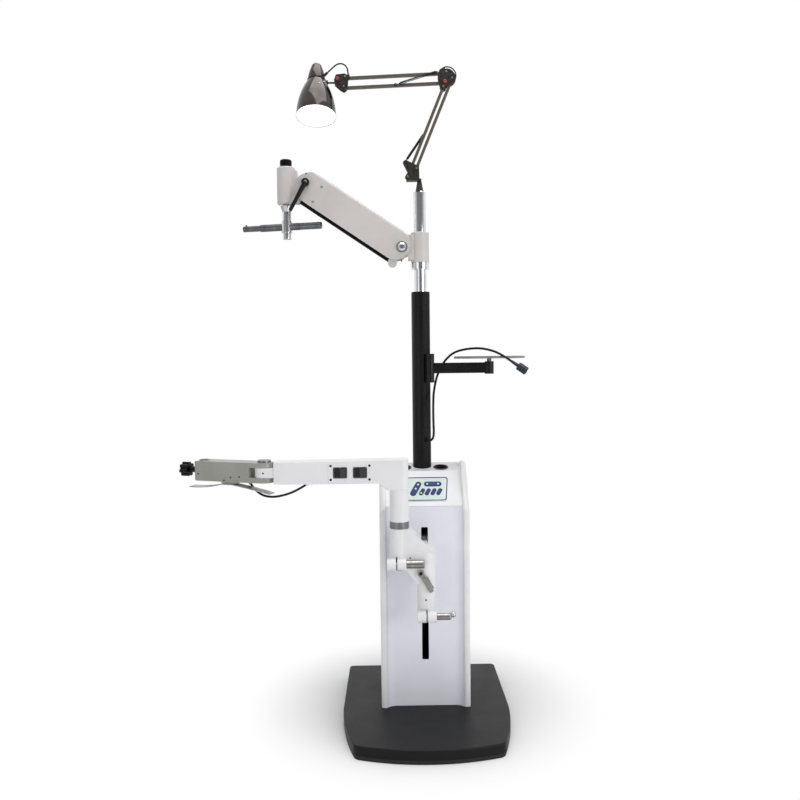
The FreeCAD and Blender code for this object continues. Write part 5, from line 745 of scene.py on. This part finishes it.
screws("mast_screws", beside_mast(FLAT_REACH, (868, 942, 1162, 1244)), 2.6, 1.2, BLACK_SCREW, "stand",
       "hexagon")
screws("bracket_screws", beside_mast(HINGE_REACH, (1016, 1082)), 3.2, 1.6, BLACK_SCREW, "stand",
       "hexagon")
MAT = [(5, 1079.8), (101, 1079.8), (102.5, 1080.4), (102.5, 1081.1), (101.5, 1081.6), (5, 1081.6)]
attach(mesh_object("tray_mat", *lathe(MAT, TRAY_CENTRE, UP, 96), ribbed_rubber()), "tray")
PIN_CAP = [(8.5, 1079.9), (8.5, 1081.8), (7.6, 1083.1), (4, 1083.5)]
attach(mesh_object("tray_pin_cap", *lathe(PIN_CAP, TRAY_CENTRE, UP, 40), ZINC), "tray")


def plug_abs():
    """Plug body in blue-black ABS with a moulded satin skin of 0.5 mm."""
    coat = new_material("plug_abs")
    vary(coat, "#1E2F3C", "#16222C", size=8, smooth=0.3, rough=0.42)
    grain(coat, size=0.5, depth=0.03)
    return coat.material


dress(plug_abs(), "lead_connector")


# SWING BRACKET
# A white casting that joins two upright barrels, each split and closed by a clamp with a turned handle; a
# nickelled lever with a blade, under the upper clamp, frees the height.

def satin_nickel():
    """Turned brass under satin nickel: warm grey, with fine lathe rings."""
    coat = new_material("satin_nickel", {"Metallic": 1.0})
    vary(coat, "#ADABA7", "#93918E", size=10, smooth=0.24, rough=0.36)
    grain(coat, size=0.5, depth=0.02, strength=0.5, stretch=(1, 0.05, 0.05))
    return coat.material


NICKEL = satin_nickel()
dress(WHITE, "swing_bracket")
dress(NICKEL, "lock_handle_lower", "lock_handle_upper", "height_lever")
FRONT = (0, -1, 0)
SOCKET = hexagon(2.2)
LEVER_SCREW = [(5.2, -0.4), (5.2, 0.9), (4.6, 1.5), (SOCKET, 1.5), (SOCKET, 0.4)]
attach(mesh_object("lever_screw", *lathe(LEVER_SCREW, (-16, -249.5, 472), FRONT, 36), BLACK_SCREW), "lever")
BALL_RADIUS, BALL_CENTRE = 8.6, (74.5, -254, 355)
ball = [(BALL_RADIUS * math.sin(a), -BALL_RADIUS * math.cos(a)) for a in np.linspace(0.04, 3.1, 25)]
attach(mesh_object("lock_ball_skin", *lathe(ball, BALL_CENTRE, (1, 0, 0), 40), ZINC, 60), "lower_lock")
screws("bracket_grub_screws", [((-46, -266.2, 521.5), FRONT)], 2.2, 0.6, BLACK_SCREW, "bracket",
       "hexagon")
screws("barrel_grub_screw", [((-1.8, -241.4, 393.5), FRONT)], 2.6, 0.5, BLACK_SCREW, "bracket",
       "hexagon")


# INSTRUMENT ARM
# A white box arm on a round column; a screwed plate in its front holds two black rocker switches.

def turned_steel():
    """Turned and polished steel: bright grey with fine rings about 0.8 mm apart round the upright axis."""
    coat = new_material("turned_steel", {"Metallic": 1.0})
    vary(coat, "#8D9093", "#797C80", size=20, smooth=0.22, rough=0.34)
    grain(coat, size=0.8, depth=0.03, strength=0.5, stretch=(0.02, 0.02, 1))
    return coat.material


def rocker_nylon():
    """Gloss black nylon rockers, with a faint orange peel."""
    coat = new_material("rocker_nylon")
    vary(coat, "#111113", "#18181B", size=8, smooth=0.12, rough=0.22)
    grain(coat, size=1.0, depth=0.01, strength=0.3)
    return coat.material


STEEL = turned_steel()
ROCKER = rocker_nylon()
dress(WHITE, "instrument_arm", "switch_plate")
dress(STEEL, "arm_spindle", "elbow_pin")
dress(ROCKER, "rocker_left", "rocker_right")
SWITCH_X, SWITCH_Z, SWITCH_GAP, PLATE_FRONT = -212, 761.5, 28, -247
plate_corners = [(SWITCH_X + x, SWITCH_Z + z) for x in (-54.5, 54.5) for z in (-19.5, 19.5)]
screws("switch_plate_screws", [((x, PLATE_FRONT, z), FRONT) for x, z in plate_corners], 3.4, 1.5, BLACK_SCREW,
       "first_arm")


def switch_bezel(x):
    """A black frame round a rocker: six closed outlines, out over the plate and back in at the opening."""
    def loop(wide, tall, rise, radius):
        """An outline with round corners, so far out of the plate."""
        flat = rounded([(wide, tall), (-wide, tall), (-wide, -tall), (wide, -tall)], radius)
        return np.stack([x + flat[:, 0], np.full(len(flat), PLATE_FRONT - rise), SWITCH_Z + flat[:, 1]], -1)
    rows = [loop(19.6, 15.6, -0.1, 3.0), loop(19.6, 15.6, 1.2, 3.0), loop(18.9, 14.9, 1.8, 3.0),
            loop(17.4, 13.9, 1.8, 2.2), loop(17.0, 13.5, 1.2, 1.2), loop(17.0, 13.5, -0.1, 1.2)]
    return grid(np.array(rows), ring=True)


bezels = joined(switch_bezel(SWITCH_X - SWITCH_GAP), switch_bezel(SWITCH_X + SWITCH_GAP))
attach(mesh_object("switch_bezels", *bezels, NYLON), "first_arm")
DOWN = (0, 0, -1)
COVER_X, COVER_Y = -300, -215
under_plate = rounded([(30, 22), (-30, 22), (-30, -22), (30, -22)], 4)
cover_rows = [np.stack([COVER_X + under_plate[:, 0] * share, COVER_Y + under_plate[:, 1] * share,
                        np.full(len(under_plate), z)], -1)
              for share, z in ((1.0, 730.6), (1.0, 728.6), (0.96, 727.9))]
attach(mesh_object("arm_cable_cover", *grid(np.array(cover_rows)), WHITE), "first_arm")
screws("cable_cover_screws", [((COVER_X + x, COVER_Y, 728), DOWN) for x in (-24, 24)], 2.6, 1.1, ZINC,
       "first_arm")


# SECOND ARM
# A shorter arm in white paint on the elbow pin, shown pale grey by painted shade, with a bored end for an
# instrument's post, a star knob that clamps it and a bent steel plate under it.

def brushed_stainless():
    """Brushed stainless sheet: soft grey with lines about 0.6 mm apart along the plate."""
    coat = new_material("brushed_stainless", {"Metallic": 0.9})
    vary(coat, "#BFC0C1", "#A9ABAC", size=25, smooth=0.28, rough=0.4)
    grain(coat, size=0.6, depth=0.03, strength=0.5, stretch=(0.05, 1, 1))
    return coat.material


def white_coat_painted_shade():
    """The outer arm's coating: the same white paint, made a warm pale grey by painted shade."""
    coat = new_material("white_coat_painted_shade", {"IOR": 1.5})
    vary(coat, "#A6A69F", "#9C9C94", size=90, smooth=0.3, rough=0.4)
    grain(coat, size=2.0, depth=0.03, strength=0.5)
    return coat.material


def phenolic():
    """Moulded phenolic knobs: deep black, half gloss, with a slight ripple of 2 mm."""
    coat = new_material("phenolic", {"Specular IOR Level": 0.25})
    vary(coat, "#060607", "#0B0B0C", size=10, smooth=0.28, rough=0.4)
    grain(coat, size=2.0, depth=0.03, strength=0.4)
    return coat.material


PHENOLIC = phenolic()
# The second arm's pale grey is painted shade on white paint.
dress(white_coat_painted_shade(), "second_arm")
dress(brushed_stainless(), "saddle_plate")
dress(PHENOLIC, "star_knob")
TURN = math.radians(20)
ALONG = np.array([-math.cos(TURN), math.sin(TURN), 0])
FACING = np.array([-math.sin(TURN), -math.cos(TURN), 0])
ELBOW = np.array([-457.0, -215.0, 0])


def on_second_arm(along, out, high):
    """A place on the second arm: so far from the elbow, so far out of its middle plane, at a height."""
    return ELBOW + ALONG * along + FACING * out + np.array([0, 0, high])


ARM_SIDE = 27
ARM_SCREWS = ((202, 753.5), (94.3, 746.2), (66.8, 749), (116.2, 737.5))
screws("second_arm_screws", [(on_second_arm(a, ARM_SIDE, z), FACING) for a, z in ARM_SCREWS], 2.4, 0.5,
       BLACK_SCREW, "outer_arm", "hexagon")
screws("tongue_screw", [(ELBOW + [0, -ARM_SIDE, 762], FRONT)], 2.4, 0.5, BLACK_SCREW, "first_arm",
       "hexagon")
screws("saddle_screws", [(on_second_arm(a, 15, 725.5), DOWN) for a in (95, 113)], 3.4, 1.6, ZINC, "outer_arm")
screws("elbow_cap_screw", [(ELBOW + [0, 0, 797], UP)], 6.0, 1.2, ZINC, "outer_arm", "hexagon")
KNOB_CAP = [(7.2, 0.0), (7.2, 1.2), (6.2, 2.0), (0.5, 2.4)]
KNOB_FACE, KNOB_Z = 270, 761.5
attach(mesh_object("star_knob_cap", *lathe(KNOB_CAP, on_second_arm(KNOB_FACE, 0, KNOB_Z), ALONG, 40), ZINC),
       "post_knob")


# POLE AND LIFT ARM
# A hard-chromed pole slides in the mast; its hub carries the lift arm, a folded cover in warm white over a
# parallel link, with a domed bolt at the hub and a clamp lever at the head.

def hard_chrome():
    """Hard chrome on ground steel: a blue-white mirror, a little hazy where hands have been."""
    coat = new_material("hard_chrome", {"Metallic": 1.0})
    vary(coat, "#E4E6E9", "#D5D8DC", size=45, smooth=0.05, rough=0.13)
    return coat.material


def warm_powder_coat():
    """The lift arm's coating, a slightly warmer and greyer white, the same orange peel."""
    coat = new_material("warm_powder_coat", {"IOR": 1.5})
    vary(coat, "#DAD5D2", "#D1CCC8", size=90, smooth=0.3, rough=0.4)
    grain(coat, size=2.0, depth=0.03, strength=0.5)
    return coat.material


CHROME = hard_chrome()
WARM = warm_powder_coat()
dress(CHROME, "pole", "pivot_bolt")
dress(WARM, "lift_hub", "lift_arm", "head_knuckle")
dress(ENAMEL, "lift_link", "clamp_lever")
COVER_FRONT = -28
COVER_SCREWS = ((-296.2, 1600.7), (-323.5, 1556.2))
EDGE_SCREWS = ((-343.2, 1640.0), (-57.5, 1376.0))
screws("lift_cover_screws", [((x, COVER_FRONT, z), FRONT) for x, z in COVER_SCREWS], 4.0, 2.2, ZINC, "lift",
       "hexagon")
screws("lift_edge_screws", [((x, COVER_FRONT, z), FRONT) for x, z in EDGE_SCREWS], 2.4, 0.7, BLACK_SCREW, "lift",
       "hexagon")
CLAMP_CAP = [(5.4, -0.4), (5.4, 1.0), (4.6, 1.8), (SOCKET, 1.8), (SOCKET, 0.5)]
attach(mesh_object("clamp_lever_cap", *lathe(CLAMP_CAP, (-344.84, -45.2, 1612.1), FRONT, 36), ZINC), "lift_lock")


# HEAD
# A warm white barrel holds the turning spindle; a fluted knob on top brakes it, and a polished cross bar slides
# through the block below.

dress(PHENOLIC, "head_knob")
dress(CHROME, "head_spindle")


def polished_steel():
    """Polished bar with drawn lines along it, half way between a mirror and satin."""
    coat = new_material("polished_steel", {"Metallic": 1.0})
    vary(coat, "#74777A", "#5F6265", size=20, smooth=0.16, rough=0.28)
    grain(coat, size=0.5, depth=0.02, strength=0.4, stretch=(0.05, 0.05, 1))
    return coat.material


dress(polished_steel(), "t_bar")
HEAD_X = -407
CAP_RING = [(21.5, 1663.6), (21.5, 1665.4), (20.6, 1666.2), (13.2, 1666.2), (13.2, 1663.6)]
attach(mesh_object("head_cap_ring", *lathe(CAP_RING, (HEAD_X, 0, 0), UP, 56), STEEL), "head")


# LAMP
# A balanced desk lamp on the pole's top: square lacquered bars in pairs, black joint plates with red caps, two
# coil springs and a dark nickel shade, darkened further by painted reflection, whose white enamelled inside
# glows faintly as painted light round a frosted bulb.

def gunmetal_lacquer():
    """Square steel tube in a brown-grey metal lacquer, with a low sheen and fine flakes of 0.4 mm."""
    coat = new_material("gunmetal_lacquer", {"Metallic": 0.75})
    vary(coat, "#8A8177", "#756D64", size=15, smooth=0.28, rough=0.4)
    grain(coat, size=0.4, depth=0.02, strength=0.4)
    return coat.material


def blackened_steel():
    """Pressed joint plates in black lacquer over steel."""
    coat = new_material("blackened_steel", {"Metallic": 0.5})
    vary(coat, "#34322E", "#45423D", size=10, smooth=0.3, rough=0.45)
    grain(coat, size=0.8, depth=0.03)
    return coat.material


def spring_wire():
    """Oil-tempered spring wire, blue-black with a silky sheen."""
    coat = new_material("spring_wire", {"Metallic": 0.5})
    vary(coat, "#242423", "#1A1A19", size=6, smooth=0.35, rough=0.5)
    grain(coat, size=0.3, depth=0.01)
    return coat.material


def dark_nickel_and_painted_reflection():
    """Dark nickel over a spun shade: a brownish grey mirror, partly its own dark finish and partly painted dark
    reflection, with a faint spin line every 1.5 mm.
    """
    coat = new_material("dark_nickel_and_painted_reflection", {"Metallic": 1.0})
    vary(coat, "#4E4A48", "#403C3A", size=40, smooth=0.07, rough=0.15)
    grain(coat, size=1.5, depth=0.004, strength=0.3, stretch=(0.2, 0.2, 1))
    return coat.material


def red_nylon():
    """Small red caps, moulded, slightly faded."""
    coat = new_material("red_nylon")
    vary(coat, "#B8463F", "#9C3831", size=4, smooth=0.3, rough=0.42)
    grain(coat, size=0.6, depth=0.02)
    return coat.material


def reflector_enamel_painted_glow():
    """White stove enamel inside the shade, with a faint warm glow of its own: painted light from the lamp."""
    coat = new_material("reflector_enamel_painted_glow", {"Emission Color": linear("#FFFDF6"), "Emission Strength": 0.55})
    vary(coat, "#FBFAF6", "#F4F2EC", size=20, smooth=0.3, rough=0.4)
    return coat.material


def frosted_glass():
    """Frosted bulb, lit: the coating glows evenly."""
    coat = new_material("frosted_glass", {"Emission Color": linear("#FFFCF4"), "Emission Strength": 2.6})
    vary(coat, "#FFFFFF", "#FAFAF6", size=20, smooth=0.4, rough=0.5)
    return coat.material


LACQUER = gunmetal_lacquer()
JOINT = blackened_steel()
dress(LACQUER, "lower_bar_front", "lower_bar_rear", "upper_bar_top", "upper_bar_bottom")
dress(JOINT, "lamp_base", "lamp_elbow", "lamp_head")
# The shade's dark mirror is partly painted reflection of a dark room.
dress(dark_nickel_and_painted_reflection(), "lamp_shade")
dress(frosted_glass(), "lamp_bulb")
WIRE = spring_wire()


HOOK_LENGTH, HOOK_START = 11.0, 3.4
TURNS, TURN_STEPS, COIL_RADIUS, WIRE_RADIUS = 58, 18, 3.4, 0.75
EYE_RADIUS, EYE_WIRE = 4.0, 0.8


def coil(name, node, start, end, layer):
    """A tension spring between two studs: straight hooks, then close turns of a helix along the line between,
    which swell to their full radius over the first and the last 24th of it. A ring lies round each stud."""
    start, end = np.array([start[0], layer, start[1]]), np.array([end[0], layer, end[1]])
    length = np.linalg.norm(end - start)
    t = np.linspace(0, 1, TURNS * TURN_STEPS)
    swell = COIL_RADIUS * np.clip(np.minimum(t, 1 - t) * 24, 0, 1)
    angle = 2 * math.pi * TURNS * t
    along = HOOK_LENGTH + t * (length - 2 * HOOK_LENGTH)
    helix = np.stack([swell * np.cos(angle), swell * np.sin(angle), along], -1)
    centre = np.concatenate([[[0, 0, HOOK_START]], helix, [[0, 0, length - HOOK_START]]])
    forward = np.gradient(centre, axis=0)
    forward /= np.linalg.norm(forward, axis=1)[:, None]
    out = np.cross(forward, [0, 0, 1.0]) + 1e-6
    out /= np.linalg.norm(out, axis=1)[:, None]
    other = np.cross(forward, out)
    small = np.linspace(0, 2 * math.pi, 8, endpoint=False)
    rows = centre[:, None] + WIRE_RADIUS * (np.cos(small)[None, :, None] * out[:, None]
                                            + np.sin(small)[None, :, None] * other[:, None])
    around = np.linspace(0, 2 * math.pi, 28, endpoint=False)
    reach = EYE_RADIUS + EYE_WIRE * np.cos(small)
    eye = np.stack([np.cos(around)[:, None] * reach, np.broadcast_to(EYE_WIRE * np.sin(small), (28, 8)),
                    np.sin(around)[:, None] * reach], -1)
    shapes = [grid(start + rows @ basis(end - start)), grid(start + eye, ring=True), grid(end + eye, ring=True)]
    made = mesh_object(name, *joined(*shapes), WIRE, 60)
    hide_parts(node)
    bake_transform(made)


BAR_LAYER = 5.0
coil("lower_spring_coil", "lower_spring", (-45, 1677), (22.55, 1773.35), BAR_LAYER)
coil("upper_spring_coil", "upper_spring", (67.98, 1949.93), (-69.9, 1908.65),
     -BAR_LAYER)
RIVET = [(3.0, -0.2), (3.0, 0.5), (2.3, 1.3), (1.0, 1.7)]


def rivets(name, places, side, body):
    """Rivet heads at (x, z) places on the front, side -1, or the back, side 1, of a joint's plates."""
    heads = [lathe(RIVET, (x, side * JOINT_FACE, z), (0, side, 0), 24) for x, z in places]
    attach(mesh_object(name, *joined(*heads), LACQUER), body)


JOINT_FACE = 13.4
for label, side in (("front", -1), ("back", 1)):
    rivets("foot_rivets_" + label, [(-9, 1657), (-36, 1632)], side, "lamp_foot")
    rivets("elbow_rivets_" + label, [(101.98, 1924.93), (74.98, 1899.93), (83.98, 1943.93)], side, "lamp_joint")
    rivets("head_rivets_" + label, [(-222.75, 1931.07), (-226.75, 1902.07)], side, "lamp_end")
CAP = [(5.8, 0), (5.8, 3.2), (5.2, 4.4), (3.8, 5.0), (0.6, 5.1)]
CAP_SEAT = -12.2
RED = red_nylon()
for name, x, z, body in (("elbow_red_cap", 79.98, 1914.93, "lamp_joint"),
                         ("head_red_cap", -245.6, 1925.4, "lamp_end")):
    attach(mesh_object(name, *lathe(CAP, (x, CAP_SEAT, z), FRONT, 36), RED), body)

SHADE_TURN = math.radians(16)
SHADE_AXIS = np.array([0, math.sin(SHADE_TURN), math.cos(SHADE_TURN)])
MOUTH = np.array([-309.5, -31.01, 1808.86])
MOUTH_RADIUS, SEAM_RADIUS, SEAM_HEIGHT, SWELL = 60.0, 27.0, 119.0, 8.0


def bell_line(inset, steps=20):
    """Radius and height along the bell: a circular arc from the mouth to the seam that swells outwards, moved in
    by an inset along its own radius. That radius is (half the chord squared + swell squared) / (2 x swell)."""
    low, high = np.array([MOUTH_RADIUS, 0.0]), np.array([SEAM_RADIUS, SEAM_HEIGHT])
    chord = high - low
    span = np.linalg.norm(chord)
    bend = (span ** 2 / 4 + SWELL ** 2) / (2 * SWELL)
    side = np.array([-chord[1], chord[0]]) / span
    middle = (low + high) / 2 + side * (bend - SWELL)
    first = math.atan2(*(low - middle)[::-1])
    last = math.atan2(*(high - middle)[::-1])
    angle = np.linspace(first, last, steps)
    return middle + (bend - inset) * np.stack([np.cos(angle), np.sin(angle)], -1)


seen_side = [[58.0, 0.4]] + bell_line(2.3).tolist()[1:] + [[24.1, 122], [21.4, 141.5], [14.6, 163.0]]
wall_side = [[58.3, 0.3]] + bell_line(1.9).tolist()[1:] + [[24.4, 122], [21.7, 141.5], [14.9, 163.3]]
lining = lathe(seen_side + wall_side[::-1], MOUTH, SHADE_AXIS, 72, ring=True)
# The lining's glow is painted light from the bulb.
attach(mesh_object("shade_lining", *lining, reflector_enamel_painted_glow(), 50), "shade")
RIM = [(58.6, -0.2), (59.2, -0.7), (59.9, -0.6), (60.2, 0.1), (60.0, 0.9), (59.3, 0.9)]
attach(mesh_object("shade_rim", *lathe(RIM, MOUTH, SHADE_AXIS, 72, ring=True), ZINC, 60), "shade")
BELL = bell_line(0.0, 120)
SMALL_RIVET = [(2.2, -0.6), (2.2, 0.2), (1.6, 0.8), (0.4, 1.1)]


def on_bell(turn, high):
    """A place on the bell's outside and the way out of it: so many degrees from the front, so high."""
    i = int(np.argmin(np.abs(BELL[:, 1] - high)))
    along = (BELL[i + 1] - BELL[i - 1]) / np.linalg.norm(BELL[i + 1] - BELL[i - 1])
    right, away, up = basis(SHADE_AXIS)
    across = right * math.sin(math.radians(turn)) - away * math.cos(math.radians(turn))
    return MOUTH + across * BELL[i, 0] + up * high, across * along[1] - up * along[0]


bell_heads = [lathe(SMALL_RIVET, *on_bell(turn, high), 20) for turn, high in ((-72, 101), (17, 84), (42, 97))]
attach(mesh_object("bell_rivets", *joined(*bell_heads), ZINC), "shade")
